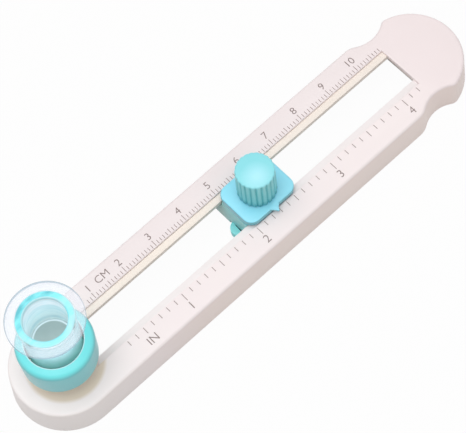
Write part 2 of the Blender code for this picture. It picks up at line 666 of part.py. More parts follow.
def make_carriage_block(material, parent):
    right = [
        (BLOCK_HALF_WIDTH, BLOCK_BOTTOM_Z),
        (BLOCK_HALF_WIDTH, SHOULDER_Z),
        (BLOCK_NECK_HALF_WIDTH, SHOULDER_Z),
        (BLOCK_NECK_HALF_WIDTH, BLOCK_TOP_Z),
    ]
    left = [(-y, z) for y, z in reversed(right)]
    body = prism_along_x(right + left, -BLOCK_HALF_LENGTH, BLOCK_HALF_LENGTH)
    block = add_piece("carriage_block", body, material, parent)
    cavity_low = (-CAVITY_HALF_LENGTH, -BLOCK_HALF_WIDTH - OVERRUN, CAVITY_BOTTOM_Z)
    cut(block, "keeper_bay", box(cavity_low, (CAVITY_HALF_LENGTH, BLOCK_HALF_WIDTH + OVERRUN, LIP_BOTTOM_Z)))
    bore = cylinder((0, 0), CLAMP_BORE_RADIUS, CAVITY_BOTTOM_Z + GAP, BLOCK_TOP_Z + OVERRUN)
    cut(block, "screw_bore", bore)
    places = carriage_screw_places()
    hole_radius = CARRIAGE_SCREW_RADIUS + FIT_CLEARANCE
    hole_low = BLOCK_BOTTOM_Z - OVERRUN
    holes = [cylinder(place, hole_radius, hole_low, BLOCK_TOP_Z + OVERRUN) for place in places]
    cut(block, "fixing_holes", merged(holes))
    seat_radius = CARRIAGE_SCREW_HEAD_RADIUS + GAP
    seat_top = BLOCK_BOTTOM_Z + CARRIAGE_SCREW_RECESS + CARRIAGE_SCREW_HEAD_THICKNESS + GAP
    seats = [cylinder(place, seat_radius, BLOCK_BOTTOM_Z - OVERRUN, seat_top) for place in places]
    cut(block, "head_seats", merged(seats))
    rebate_half_width = NOSE_RADIUS + GAP
    rebate_end = NOSE_BACK_X + TONGUE_LENGTH + GAP
    rebate_low = (-BLOCK_HALF_LENGTH - OVERRUN, BLADE_Y - rebate_half_width, BLOCK_BOTTOM_Z - OVERRUN)
    rebate_high = (rebate_end, BLADE_Y + rebate_half_width, HOLDER_BOTTOM_Z + TONGUE_THICKNESS + GAP)
    cut(block, "holder_rebate", box(rebate_low, rebate_high))
    slot_half_width = BLADE_HALF_WIDTH + FIT_CLEARANCE
    slot_half_thickness = BLADE_THICKNESS / 2 + FIT_CLEARANCE
    slot_low = (BLADE_X - slot_half_thickness, BLADE_Y - slot_half_width, BLOCK_BOTTOM_Z - OVERRUN)
    slot_high = (BLADE_X + slot_half_thickness, BLADE_Y + slot_half_width, BLADE_TOP_Z + FIT_CLEARANCE)
    cut(block, "blade_slot", box(slot_low, slot_high))
    screw_place = (NOSE_BACK_X + BLADE_SCREW_SET_BACK, BLADE_Y)
    screw_radius = BLADE_SCREW_RADIUS + FIT_CLEARANCE
    screw_top = BLADE_SCREW_TIP_Z + FIT_CLEARANCE
    cut(block, "blade_screw_hole", cylinder(screw_place, screw_radius, BLOCK_BOTTOM_Z - OVERRUN, screw_top))


def make_carriage_screws(material, parent):
    head_low = BLOCK_BOTTOM_Z + CARRIAGE_SCREW_RECESS
    tip_z = PLATE_BOTTOM_Z + CARRIAGE_SCREW_BITE
    head = (CARRIAGE_SCREW_HEAD_RADIUS, head_low, CARRIAGE_SCREW_HEAD_THICKNESS)
    body = screw_body(CARRIAGE_SCREW_RADIUS, *head, tip_z)
    add_copies("carriage_screw", body, carriage_screw_places(), material, parent)


def make_blade_holder(material, parent):
    """A rounded nose in front of the block, on a tongue that runs back under it and carries the blade."""
    tongue_low = (NOSE_BACK_X, BLADE_Y - NOSE_RADIUS, HOLDER_BOTTOM_Z)
    tongue_high = (NOSE_BACK_X + TONGUE_LENGTH, BLADE_Y + NOSE_RADIUS, HOLDER_BOTTOM_Z + TONGUE_THICKNESS)
    holder = add_piece("blade_holder", box(tongue_low, tongue_high), material, parent)
    nose = cylinder((NOSE_X, BLADE_Y), NOSE_RADIUS, HOLDER_BOTTOM_Z, NOSE_TOP_Z, TURNED_SIDES)
    join(holder, "nose", nose)
    slot_half_thickness = BLADE_THICKNESS / 2 + FIT_CLEARANCE
    slot_front = BLADE_X - slot_half_thickness
    slit_low = (NOSE_BACK_X, BLADE_Y - NOSE_RADIUS - OVERRUN, HOLDER_BOTTOM_Z + HOLDER_BRIDGE)
    slit_high = (slot_front, BLADE_Y + NOSE_RADIUS + OVERRUN, NOSE_TOP_Z + OVERRUN)
    cut(holder, "slit", box(slit_low, slit_high))
    lid_low = (slot_front - GAP, BLADE_Y - NOSE_RADIUS - OVERRUN, HOLDER_BOTTOM_Z + TONGUE_THICKNESS)
    lid_high = (tongue_high[0], BLADE_Y + NOSE_RADIUS + OVERRUN, NOSE_TOP_Z + OVERRUN)
    cut(holder, "nose_back", box(lid_low, lid_high))
    slot_half_width = BLADE_HALF_WIDTH + FIT_CLEARANCE
    slot_low = (slot_front, BLADE_Y - slot_half_width, HOLDER_BOTTOM_Z - OVERRUN)
    slot_high = (BLADE_X + slot_half_thickness, BLADE_Y + slot_half_width, NOSE_TOP_Z + OVERRUN)
    cut(holder, "blade_slot", box(slot_low, slot_high))
    place = (NOSE_BACK_X + BLADE_SCREW_SET_BACK, BLADE_Y)
    shaft_radius = BLADE_SCREW_RADIUS + FIT_CLEARANCE
    cut(holder, "screw_hole", cylinder(place, shaft_radius, HOLDER_BOTTOM_Z - OVERRUN, NOSE_TOP_Z + OVERRUN))
    seat_top = HOLDER_BOTTOM_Z + BLADE_SCREW_HEAD_THICKNESS + GAP
    seat_radius = BLADE_SCREW_HEAD_RADIUS + GAP
    cut(holder, "screw_seat", cylinder(place, seat_radius, HOLDER_BOTTOM_Z - OVERRUN, seat_top))


def make_blade(material, parent):
    """A pointed blade across the beam, so that it follows the circle round the pivot."""
    tip = BLADE_HALF_WIDTH * BLADE_TIP_SHARE
    outline = [
        (-BLADE_HALF_WIDTH, BLADE_TOP_Z),
        (-BLADE_HALF_WIDTH, BLADE_SHOULDER_Z),
        (tip, BLADE_TIP_Z),
        (BLADE_HALF_WIDTH, BLADE_SHOULDER_Z),
        (BLADE_HALF_WIDTH, BLADE_TOP_Z),
    ]
    body = prism_along_x(outline, -BLADE_THICKNESS / 2, BLADE_THICKNESS / 2)
    add_piece("blade", moved(body, (BLADE_X, BLADE_Y, 0)), material, parent)


def make_blade_screw(material, parent):
    head = (BLADE_SCREW_HEAD_RADIUS, HOLDER_BOTTOM_Z, BLADE_SCREW_HEAD_THICKNESS)
    body = screw_body(BLADE_SCREW_RADIUS, *head, BLADE_SCREW_TIP_Z)
    add_piece("blade_screw", moved(body, (NOSE_BACK_X + BLADE_SCREW_SET_BACK, BLADE_Y, 0)), material, parent)


# Clamp
def make_keeper_plate(material, parent):
    half_length = KEEPER_LENGTH / 2
    low = (-half_length, -BLOCK_HALF_WIDTH, KEEPER_BOTTOM_Z)
    body = box(low, (half_length, BLOCK_HALF_WIDTH, SHOULDER_Z))
    keeper = add_piece("keeper_plate", body, material, parent)
    bore = cylinder((0, 0), CLAMP_BORE_RADIUS, KEEPER_BOTTOM_Z - OVERRUN, SHOULDER_Z + OVERRUN)
    cut(keeper, "screw_bore", bore)
    pocket_top = KEEPER_BOTTOM_Z + NUT_THICKNESS + GAP
    pocket = cylinder((0, 0), NUT_RADIUS + GAP, KEEPER_BOTTOM_Z - OVERRUN, pocket_top, HEX_SIDES)
    cut(keeper, "nut_pocket", pocket)


def make_keeper_nut(material, parent):
    nut_top = KEEPER_BOTTOM_Z + NUT_THICKNESS
    hexagon = cylinder((0, 0), NUT_RADIUS, KEEPER_BOTTOM_Z, nut_top, HEX_SIDES)
    nut = add_piece("keeper_nut", hexagon, material, parent)
    thread_radius = CLAMP_SCREW_RADIUS + FIT_CLEARANCE
    cut(nut, "thread", cylinder((0, 0), thread_radius, KEEPER_BOTTOM_Z - OVERRUN, nut_top + OVERRUN))


def fluted_ring(radius):
    """A ring of points with shallow rounded flutes all round."""
    count = KNOB_FLUTES * KNOB_FLUTE_POINTS
    points = []
    for index in range(count):
        turn = 2 * math.pi * index / count
        depth = KNOB_FLUTE_DEPTH * (1 - abs(math.sin(turn * KNOB_FLUTES / 2)))
        reach = radius - depth
        points.append(Vector((reach * math.cos(turn), reach * math.sin(turn))))
    return points


def make_knob(material, parent):
    count = KNOB_FLUTES * KNOB_FLUTE_POINTS
    body = loft([
        (fluted_ring(KNOB_BASE_RADIUS), KNOB_BOTTOM_Z),
        (fluted_ring(KNOB_TOP_RADIUS), KNOB_EDGE_Z - KNOB_EDGE_RADIUS),
        (ring_of_points(KNOB_TOP_RADIUS - KNOB_EDGE_RADIUS, count), KNOB_EDGE_Z),
        (ring_of_points(KNOB_TOP_RADIUS / 2, count), KNOB_EDGE_Z + KNOB_DOME),
    ])
    knob = add_piece("clamp_knob", body, material, parent)
    low = KNOB_BOTTOM_Z - OVERRUN
    seat = cylinder((0, 0), WASHER_RADIUS + GAP, low, WASHER_TOP_Z + GAP, TURNED_SIDES)
    cut(knob, "washer_seat", seat)
    cut(knob, "screw_bore", cylinder((0, 0), CLAMP_BORE_RADIUS, low, CLAMP_SCREW_HEAD_TOP_Z))
    pocket_radius = CLAMP_SCREW_HEAD_RADIUS + GAP
    pocket_low = CLAMP_SCREW_HEAD_Z - GAP
    pocket_high = CLAMP_SCREW_HEAD_TOP_Z + GAP
    cut(knob, "head_pocket", cylinder((0, 0), pocket_radius, pocket_low, pocket_high, HEX_SIDES))


def make_knob_washer(material, parent):
    profile = [(CLAMP_BORE_RADIUS, WASHER_TOP_Z), (WASHER_RADIUS, WASHER_TOP_Z)]
    profile += [(WASHER_RADIUS, WASHER_Z), (CLAMP_BORE_RADIUS, WASHER_Z)]
    add_piece("knob_washer", turned(profile), material, parent)


def make_clamp_screw(material, parent):
    radius = CLAMP_SCREW_HEAD_RADIUS
    head = cylinder((0, 0), radius, CLAMP_SCREW_HEAD_Z, CLAMP_SCREW_HEAD_TOP_Z, HEX_SIDES)
    screw = add_piece("clamp_screw", head, material, parent)
    tip_z = CAVITY_BOTTOM_Z + GAP
    shaft_top = (CLAMP_SCREW_HEAD_Z + CLAMP_SCREW_HEAD_TOP_Z) / 2
    join(screw, "shaft", cylinder((0, 0), CLAMP_SCREW_RADIUS, tip_z, shaft_top))


def main():
    clear_scene()
    white = make_material("white_plastic", (0.86, 0.80, 0.79), 0.35)
    cream = make_material("cream_plastic", (0.90, 0.86, 0.79), 0.35)
    teal = make_material("teal_plastic", (0.16, 0.71, 0.71), 0.3)
    sky = make_material("sky_plastic", (0.26, 0.74, 0.88), 0.3)
    clear = make_material("clear_plastic", (0.86, 0.93, 0.95), 0.08, transmission=0.9)
    grey = make_material("grey_plastic", (0.35, 0.45, 0.45), 0.5)
    rubber = make_material("rubber", (0.12, 0.12, 0.12), 0.8)
    steel = make_material("steel", (0.6, 0.6, 0.6), 0.3, metallic=1.0)
    blade_steel = make_material("blade_steel", (0.1, 0.1, 0.11), 0.35, metallic=1.0)
    brass = make_material("brass", (0.75, 0.6, 0.3), 0.35, metallic=1.0)

    make_top_shell(white)
    make_slide_frame(cream)
    make_base_plate(white)
    make_base_screws(steel)
    make_pivot_collar(teal)
    make_bearing_bush(grey)

    pivot_axis = add_axis("pivot_axis", (0, 0, 0))
    make_pad(rubber, pivot_axis)
    make_spindle(grey, pivot_axis)
    make_thrust_washer(steel, pivot_axis)
    make_cup_screw(steel, pivot_axis)
    make_cup_cap(grey, pivot_axis)
    make_finger_cup(clear, pivot_axis)

    carriage_axis = add_axis("carriage_slide", (POINTER_X, 0, 0))
    make_carriage_plate(sky, carriage_axis)
    make_carriage_block(teal, carriage_axis)
    make_carriage_screws(steel, carriage_axis)
    make_blade_holder(teal, carriage_axis)
    make_blade(blade_steel, carriage_axis)
    make_blade_screw(steel, carriage_axis)

    keeper_axis = add_axis("keeper_lift", (0, 0, 0), carriage_axis)
    make_keeper_plate(grey, keeper_axis)
    make_keeper_nut(brass, keeper_axis)

    knob_axis = add_axis("knob_axis", (0, 0, 0), carriage_axis)
    make_knob(teal, knob_axis)
    make_knob_washer(steel, knob_axis)
    make_clamp_screw(steel, knob_axis)


main()
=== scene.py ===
"""Circle cutter: the looks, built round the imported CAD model.

Shapes are written in millimetres and become metres when they go into a mesh. +X runs along the beam to its
round head and +Y is the centimetre scale's side.
"""

import math

import bmesh
import bpy
from mathutils import Matrix, Vector


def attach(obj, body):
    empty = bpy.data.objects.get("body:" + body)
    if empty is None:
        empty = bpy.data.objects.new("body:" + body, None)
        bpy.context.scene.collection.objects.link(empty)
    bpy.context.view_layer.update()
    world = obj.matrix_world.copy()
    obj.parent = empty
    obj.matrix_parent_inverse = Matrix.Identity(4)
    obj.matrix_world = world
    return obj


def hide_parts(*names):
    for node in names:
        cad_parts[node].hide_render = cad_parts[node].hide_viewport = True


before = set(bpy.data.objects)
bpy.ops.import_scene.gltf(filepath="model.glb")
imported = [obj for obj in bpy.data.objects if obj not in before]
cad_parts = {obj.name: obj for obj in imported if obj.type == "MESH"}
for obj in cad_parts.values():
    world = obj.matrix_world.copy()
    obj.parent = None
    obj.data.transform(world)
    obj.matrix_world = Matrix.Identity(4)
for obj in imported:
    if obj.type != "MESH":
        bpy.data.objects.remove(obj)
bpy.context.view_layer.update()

# Units and angles
MM = 0.001
TAU = 2 * math.pi
QUARTER = math.pi / 2
SMOOTH = math.radians(32)
KNOB_SMOOTH = math.radians(50)
BLADE_SMOOTH = math.radians(8)
FLAT = math.radians(1)
HARD = 0.7
SLOT_HARD = 0.5
DRESSED_HARD = math.radians(40)

# How near two heights are taken as one, and how far a cut goes past a face
SAME = 0.01
PAST = 1

# Camera, fitted to the photograph
IMAGE_WIDTH = 466
FOCAL_PIXELS = 1911.4
SENSOR = 36
AZIMUTH = math.radians(-34.97)
ELEVATION = math.radians(65.07)
ROLL = math.radians(-8.8)
DISTANCE = 487.0
TARGET = (58.5, 3.13, 0)
CLIP_METRES = (0.01, 20)

# Light: each lamp is (name, place, size, watts)
AMBIENT = 0.49
LAMPS = (
    ("key", (-70, 80, 800), 760, 3.75),
    ("fill", (160, -430, 460), 420, 0.34),
)
LAMP_TARGET = (60, 0, 0)

# Floor: the glow is how much of its white is its own
FLOOR_GLOW = 0.965
FLOOR_HALF = 3000
FLOOR_Z = -0.02
FLOOR_TONES = ((0.69, 0.68, 0.68, 1), (0.71, 0.70, 0.70, 1))
FLOOR_PATCHES = 4

# Beam
BEAM_TOP = 9.5
BEAM_HALF = 13.9
BEAM_DRAFT = 0.3
EDGE_RADIUS = 0.8
EDGE_STEPS = 6
FOOT_EDGE = 0.3
FOOT_STEPS = 3
HEAD_X = 119.2
HEAD_RADIUS = 13.9
WAIST_X = 116.2
INNER_WAIST_X = 117.0
WAIST_HALF = 11.7
HOLLOW_RADIUS = 8.5
SHOULDER_RADIUS = 5.5
CORNER_RADIUS = 2.4
LEAST_CORNER = 0.05
END_STEPS = 40
SHOULDER_STEPS = 12
WAIST_STEPS = 24
CORNER_STEPS = 8
HEAD_STEPS = 44
WALL = 1.3
INSIDE_LOW = -2
INSIDE_TOP = 8.3

# Slot and the pivot's neck
SLOT_RADIUS = 8.5
SLOT_START = 4
SLOT_END = 115.5
SLOT_CM = 6.93
SLOT_INCH = -6.5
SLOT_EDGE = 0.2
SLOT_STEPS = 32
SLOT_CUT = (6, 12)
NECK_RADIUS = 6.85
NECK_BORE = 5.7
NECK_LOW = 3.7
NECK_HIGH = 18.2
NECK_CUT = (0, 20)
NECK_MARGIN = 0.5

# Slide frame and its ledges
LEDGE_TOP = 8.85
LEDGE_CM = 5.0
LEDGE_INCH = -4.58
LEDGE_SEAM = 0.04
LIP_LOW = 7.2
LIP_CHAMFER = 0.22
FLANGE_TOP = 8.0
FRAME_LOW = 1.7
FRAME_HALF = 9.0
FRAME_END = 119.3
FRAME_EDGE = 0.1
FRAME_STEPS = 48
FRAME_NECK_GAP = 0.3
CHANNEL_HALF = 8.2
CHANNEL_END = 118.5
OPENING_END = 118.2

# Turned profiles: each corner is (radius, z, fillet)
COLLAR_PROFILE = (
    (7.15, 24.9, 0.3),
    (8.95, 24.25, 0.35),
    (9.68, 23.3, 0.5),
    (9.5, 15.0, 0.35),
    (7.15, 15.0, 0.2),
)
CUP_PROFILE = (
    (5.3, 38.3, 0.5),
    (9.55, 38.3, 0.22),
    (9.55, 37.3, 0.22),
    (6.9, 37.3, 0.8),
    (6.75, 33.0, 0),
    (6.75, 19.4, 0.2),
    (3.3, 19.4, 0),
    (3.3, 21.9, 0),
    (1.5, 21.9, 0),
    (1.5, 23.1, 0),
    (5.3, 23.1, 0.2),
)
CAP_PROFILE = ((0, 25.5, 0), (5.05, 25.5, 0.15), (5.05, 24.7, 0.1), (0, 24.7, 0))

# How much of the cup's own plastic shows, from 0, clear, to 1
CUP_WALL_BODY = (0.72, 0.72, 0.72, 1)
CUP_END_BODY = (0.92, 0.92, 0.92, 1)
CUP_FLANGE_BODY = (0.26, 0.26, 0.26, 1)
CUP_LIGHT_SHARE = 0.25
CUP_GLOW = 1.8

# Carriage plate
POINTER_X = 64.8
PLATE_HALF_LENGTH = 8.125
PLATE_HALF_WIDTH = 6.45
PLATE_CORNER = 2.8
PLATE_CORNER_STEPS = 12
PLATE_LOW = 9.15
PLATE_RIM_LOW = 9.85
PLATE_RIM_EDGE = 0.12
PLATE_HIGH = 11.5
PLATE_EDGE = 0.42
PLATE_EDGE_STEPS = 5
PLATE_HOLE = 1.8
PLATE_CUT = (8, 13)
PLATE_STEP = 1.1
STEP_INSET = 0.04
STEP_CORNER = 1.7
STEP_OVERLAP = 0.4

# Pointer: its root lies inside the plate, and its edge is a share of the plate's
POINTER_LOW = 10.8
POINTER_LOW_EDGE = 0.08
POINTER_REACH = 1.6
POINTER_OVERLAP = 0.45
POINTER_HALF = 1.9
POINTER_TIP = 0.15
POINTER_LEAST = 0.03
POINTER_HOLLOW = 1.35
POINTER_STEPS = 8
POINTER_EDGE_SHARE = 0.6
POINTER_END_SHARE = 0.5
POINTER_DROP = 0.02

# Knob
KNOB_LOW = 11.9
KNOB_HIGH = 22.4
KNOB_BASE = 5.13
KNOB_TOP = 5.03
KNOB_FOOT_INSET = 0.12
KNOB_FOOT_HIGH = 0.15
KNOB_EDGE = 0.45
KNOB_EDGE_STEPS = 8
KNOB_DOME = 0.35
KNOB_DOME_SHARES = (0.94, 0.85, 0.7, 0.5, 0.25, 0.08)
KNOB_HOLE = 3.6
KNOB_CUT = (10, 12.5)
KNOB_FLUTES = 22
FLUTE_POINTS = 12
FLUTE_DEPTH = 0.34
FLUTE_POWER = 1.2
FLUTE_FADE = 1.2
FLUTE_FADE_STEPS = 6
FLUTE_LEFT = 0.55

# Blade nose: the slit's corners are (x, y), and each box has two corners (x, y, z)
NOSE_CENTRE = (56.925, -1.2)
NOSE_Y = -1.3
NOSE_RADIUS = 2.35
NOSE_LOW = 0.5
NOSE_HIGH = 2.6
NOSE_FRONT = 56.225
NOSE_EDGE = 0.12
SLIT = ((56.255, -4.65), (57.675, -4.65), (57.675, 0.1), (56.575, 0.1))
SLIT_LOW = 1.0
TONGUE = ((56.725, -4.2, 0.5), (63.075, 1.6, 2.1))
ABOVE_TONGUE = ((56.655, -6.3, 2.1), (63.075, 3.7, 3.6))
BLADE_SLOT = ((57.22, -3.6, -0.5), (57.78, 1.0, 2.6))
NOSE_SCREW_PLACE = (60.675, -1.3)
NOSE_SCREW_HOLE = 0.8
NOSE_SCREW_RECESS = 1.6
NOSE_RECESS_TOP = 1.4

# Blade: (y from the nose's middle, z) of its outline, and of its flat faces inside the bevel
BLADE_X = 57.5
BLADE_HALF_THICK = 0.175
BLADE_OUTLINE = ((-2.2, 4.0), (-2.2, 2.1), (-0.77, 0.15), (2.2, 2.1), (2.2, 4.0))
BLADE_FACE = ((-2.2, 4.0), (-2.2, 2.75), (-0.72, 0.85), (2.2, 2.62), (2.2, 4.0))

# Screws: each size is (head radius, shaft radius, head's face, seat, tip)
BASE_SCREW = (1.1, 0.6, 0.2, 0.8, 5.0)
CARRIAGE_SCREW = (1.25, 0.7, 1.2, 2.0, 10.55)
NOSE_SCREW = (1.3, 0.7, 0.5, 1.1, 4.2)
MIDDLE_SCREW_X = 62.0
HEAD_SCREW = (123.5, 7.5)
CARRIAGE_SCREWS = ((-6.4, 3.3), (6.4, -3.3))
SCREW_FLAT_SHARE = 0.72
SCREW_EDGE = 0.22
THREAD_START = 0.3
THREAD_PITCH = 0.45
THREAD_DEPTH = 0.08
CROSS_ARM_SHARE = 0.55
CROSS_HALF = 0.16
CROSS_DEPTH = 0.35

# Pad and the rings in its underside
PAD_RADIUS = 6.175
PAD_HIGH = 1.0
RING_WIDTH = 0.5
RING_SLOPE = 0.12
RING_DEPTH = 0.22
RING_PITCH = 0.95
RING_LEAST = 0.8
RING_FILLET = 0.05

# Printed marks. A tick is as long as the first step that divides its number says.
INK = 0.03
# Ticks: (piece, zero, pitch, numbers, half width, edge, ((step, length), ...))
TICK_ROWS = (
    ("inch_ticks", 7.3, 2.54, range(3, 43), 0.095, -6.9, ((10, -2.3), (5, -1.9), (1, -1.45))),
    ("cm_ticks", 6.97, 1, range(8, 109), 0.08075, 7.13, ((10, 1.75), (5, 1.45), (1, 1.1))),
)
# Figures: (piece, zero, pitch, numbers, row, height, letters, their x, their row)
FIGURE_ROWS = (
    ("cm_numbers", 7.12, 10, range(1, 11), 10.3, 2.08, "CM", 21.77, 10.35),
    ("inch_numbers", 7.15, 25.4, range(1, 5), -10.95, 2.25, "IN", 19.9, -10.85),
)
FIGURE_HEIGHT_SHARE = 0.71
FIGURE_THINNING = -0.011

# Fine grain of the mouldings, and the depth of its bumps
GRAIN = 2600
GRAIN_BUMP = 0.25
GRAIN_DEPTH = 0.012
METAL_LINES = 900
METAL_DARKER = 0.8
METAL_GLOSS = (0.8, 1.25)
INK_GRAIN = 3000
INK_ROUGHNESS = 0.6

# Numbers of the Mix node's colour sockets
MIX_FIRST = 6
MIX_SECOND = 7
MIX_RESULT = 2

# CAD solids that stay as they are, by the material that they get
KEPT_NODES = {
    "steel": ["thrust_washer", "cup_screw", "clamp_screw", "knob_washer"],
    "grey": ["bearing_bush", "pivot_spindle"],
    "brass": ["keeper_nut"],
}


# Node helpers
def srgb(red, green, blue):
    """Linear colour, with alpha, of an sRGB one, 0 to 255."""
    return (*(((level / 255 + 0.055) / 1.055) ** 2.4 for level in (red, green, blue)), 1)


def new_material(name):
    """A new material, its node tree and its main shader."""
    material = bpy.data.materials.new(name)
    material.use_nodes = True
    return material, material.node_tree, material.node_tree.nodes["Principled BSDF"]


def feed(tree, sockets, values):
    """Values for sockets, by name or number: each is plain or another node's output."""
    for key, value in values.items():
        if isinstance(value, bpy.types.NodeSocket):
            tree.links.new(value, sockets[key])
        else:
            sockets[key].default_value = value


def node(tree, kind, values, **settings):
    """A new node with its settings and its inputs."""
    made = tree.nodes.new(kind)
    for name, setting in settings.items():
        setattr(made, name, setting)
    feed(tree, made.inputs, values)
    return made


def object_place(tree):
    """The place on the piece, in metres of the row frame."""
    return tree.nodes.new("ShaderNodeTexCoord").outputs["Object"]


def noise(tree, scale, detail=3.0, stretch=(1, 1, 1)):
    """Soft noise over the piece."""
    mapping = node(tree, "ShaderNodeMapping", {"Vector": object_place(tree), "Scale": stretch})
    values = {"Vector": mapping.outputs["Vector"], "Scale": scale, "Detail": detail}
    return node(tree, "ShaderNodeTexNoise", values).outputs["Fac"]


def span(tree, value, low, high, start=0.3, end=0.7):
    """A value moved from start..end to low..high."""
    values = {"Value": value, "From Min": start, "From Max": end, "To Min": low, "To Max": high}
    return node(tree, "ShaderNodeMapRange", values).outputs["Result"]


def slow_drift(tree, scale):
    """0 to 1 in large soft patches."""
    return span(tree, noise(tree, scale), 0, 1)


def mixed(tree, factor, first, second):
    """A mix of two colours."""
    values = {0: factor, MIX_FIRST: first, MIX_SECOND: second}
    return node(tree, "ShaderNodeMix", values, data_type="RGBA").outputs[MIX_RESULT]


def toned(tree, drift, first, second):
    """A drift between two colours, given as sRGB levels."""
    return mixed(tree, drift, srgb(*first), srgb(*second))


def blended(tree, factor, first, second):
    """A mix of two shaders."""
    return node(tree, "ShaderNodeMixShader", {0: factor, 1: first, 2: second}).outputs[0]


def joined(tree, operation, values):
    """The values brought together one after another by a math operation."""
    total = values[0]
    for value in values[1:]:
        total = node(tree, "ShaderNodeMath", {0: total, 1: value}, operation=operation).outputs[0]
    return total


def show(tree, surface, output="Material Output"):
    """The surface that is seen."""
    tree.links.new(surface, tree.nodes[output].inputs["Surface"])


def product(tree, *values):
    """The values multiplied together."""
    return joined(tree, "MULTIPLY", values)


def any_ray(tree, *kinds):
    """1 for rays of these kinds, and 0 for the rest."""
    path = tree.nodes.new("ShaderNodeLightPath")
    return joined(tree, "MAXIMUM", [path.outputs[kind] for kind in kinds])


def seen_ray(tree):
    """1 for what is looked at, straight, in a reflection or through clear plastic."""
    return any_ray(tree, "Is Camera Ray", "Is Glossy Ray", "Is Transmission Ray")


def along(tree, axis, start, end):
    """0 at start to 1 at end along one axis of the row frame, in millimetres."""
    parts = node(tree, "ShaderNodeSeparateXYZ", {"Vector": object_place(tree)})
    values = {"Value": parts.outputs[axis], "From Min": start * MM, "From Max": end * MM}
    return node(tree, "ShaderNodeMapRange", values, interpolation_type="SMOOTHSTEP").outputs["Result"]


def between(tree, axis, start, full, waning, end):
    """1 from full to waning along one axis, fading to 0 at start and at end."""
    return product(tree, along(tree, axis, start, full), along(tree, axis, end, waning))


def radius_from_axis(tree, x=0.0, y=0.0):
    """The distance in metres from an upright axis, which is given in millimetres."""
    values = {0: object_place(tree), 1: (1, 1, 0), 2: (-x * MM, -y * MM, 0)}
    flat = node(tree, "ShaderNodeVectorMath", values, operation="MULTIPLY_ADD").outputs["Vector"]
    return node(tree, "ShaderNodeVectorMath", {0: flat}, operation="LENGTH").outputs["Value"]


def inside(tree, radius, near, far, most=1.0):
    """The most within the near radius, fading to 0 at the far one, in millimetres."""
    return span(tree, radius, most, 0, near * MM, far * MM)


def outside(tree, radius, near, far):
    """0 within the near radius, rising to 1 at the far one, in millimetres."""
    return span(tree, radius, 0, 1, near * MM, far * MM)


def bumps(tree, height, strength, depth):
    """The surface's direction over bumps, their depth in millimetres."""
    values = {"Height": height, "Strength": strength, "Distance": depth * MM}
    return node(tree, "ShaderNodeBump", values).outputs["Normal"]


def moulded(tree, shader, colour, gloss, grain, bump=GRAIN_BUMP, depth=GRAIN_DEPTH):
    """The colour, and a fine grain with an uneven gloss between two roughnesses."""
    fine = noise(tree, grain, 2)
    roughness = span(tree, fine, *gloss)
    values = {"Base Color": colour, "Roughness": roughness, "Normal": bumps(tree, fine, bump, depth)}
    feed(tree, shader.inputs, values)


# Colours of the mouldings
def shell_tones(tree):
    """Pinkish white, a little greyer in the head and on the centimetre side, with painted light that makes
    the top of the pivot end paler.
    """
    drift = slow_drift(tree, 45)
    inch_side = toned(tree, drift, (249, 238, 237), (246, 235, 235))
    centimetre_side = toned(tree, drift, (244, 233, 233), (241, 230, 230))
    to_centimetres = along(tree, "Y", 3, 7)
    middle = mixed(tree, to_centimetres, inch_side, centimetre_side)
    pivot_wall = toned(tree, drift, (247, 240, 238), (244, 237, 234))
    # Painted light: the pivot end's top is paler, to offset the shadow that the collar and cup cast there.
    top_face = along(tree, "Z", 9.0, 9.35)
    pivot_end_painted_light = mixed(tree, top_face, pivot_wall, srgb(255, 247, 246))
    past_pivot = along(tree, "X", -6, 26)
    head = toned(tree, drift, (245, 232, 232), (242, 229, 229))
    in_head = along(tree, "X", 104, 122)
    return mixed(tree, in_head, mixed(tree, past_pivot, pivot_end_painted_light, middle), head)


def shell_colour(tree):
    """The beam's tones, with a warm painted shadow round the foot of the neck, and warmer down the walls.
    """
    # Painted shadow: a warm brown shade round the neck's foot, under the collar.
    collar_painted_shadow = inside(tree, radius_from_axis(tree, 0.2, -0.6), 9.3, 10.3)
    near_top = between(tree, "Z", 9.2, 9.4, 9.7, 10.0)
    colour = mixed(tree, product(tree, collar_painted_shadow, near_top), shell_tones(tree), srgb(234, 218, 200))
    down_wall = along(tree, "Z", 9.0, 8.6)
    off_pivot = span(tree, along(tree, "X", 10, 40), 0, 0.5, 0, 1)
    return mixed(tree, product(tree, down_wall, off_pivot), colour, srgb(248, 230, 218))


def ledge_colour(tree):
    """Pale and neutral, with a painted warm reflection that makes the centimetre side cream."""
    drift = slow_drift(tree, 70)
    # Painted reflection: the cream tone on the centimetre side stands for warm reflected light.
    cream = toned(tree, drift, (248, 238, 229), (244, 233, 222))
    pale = toned(tree, drift, (246, 239, 239), (243, 236, 235))
    to_centimetres = along(tree, "Y", -2, 2)
    return mixed(tree, to_centimetres, pale, cream)


def collar_colour(tree):
    """The collar's teal, with painted shade on its side below the lit top, and a pale painted highlight
    round its bore.
    """
    drift = slow_drift(tree, 60)
    top = toned(tree, drift, (124, 242, 244), (114, 234, 238))
    # Painted shade: the side is a darker copy of the top's teal.
    side = toned(tree, drift, (113, 203, 208), (107, 196, 201))
    above_side = along(tree, "Z", 23.2, 24.2)
    # Painted highlight: a pale line round the bore's edge.
    bore_highlight = inside(tree, radius_from_axis(tree), 7.3, 7.5)
    return mixed(tree, bore_highlight, mixed(tree, above_side, side, top), srgb(214, 250, 252))


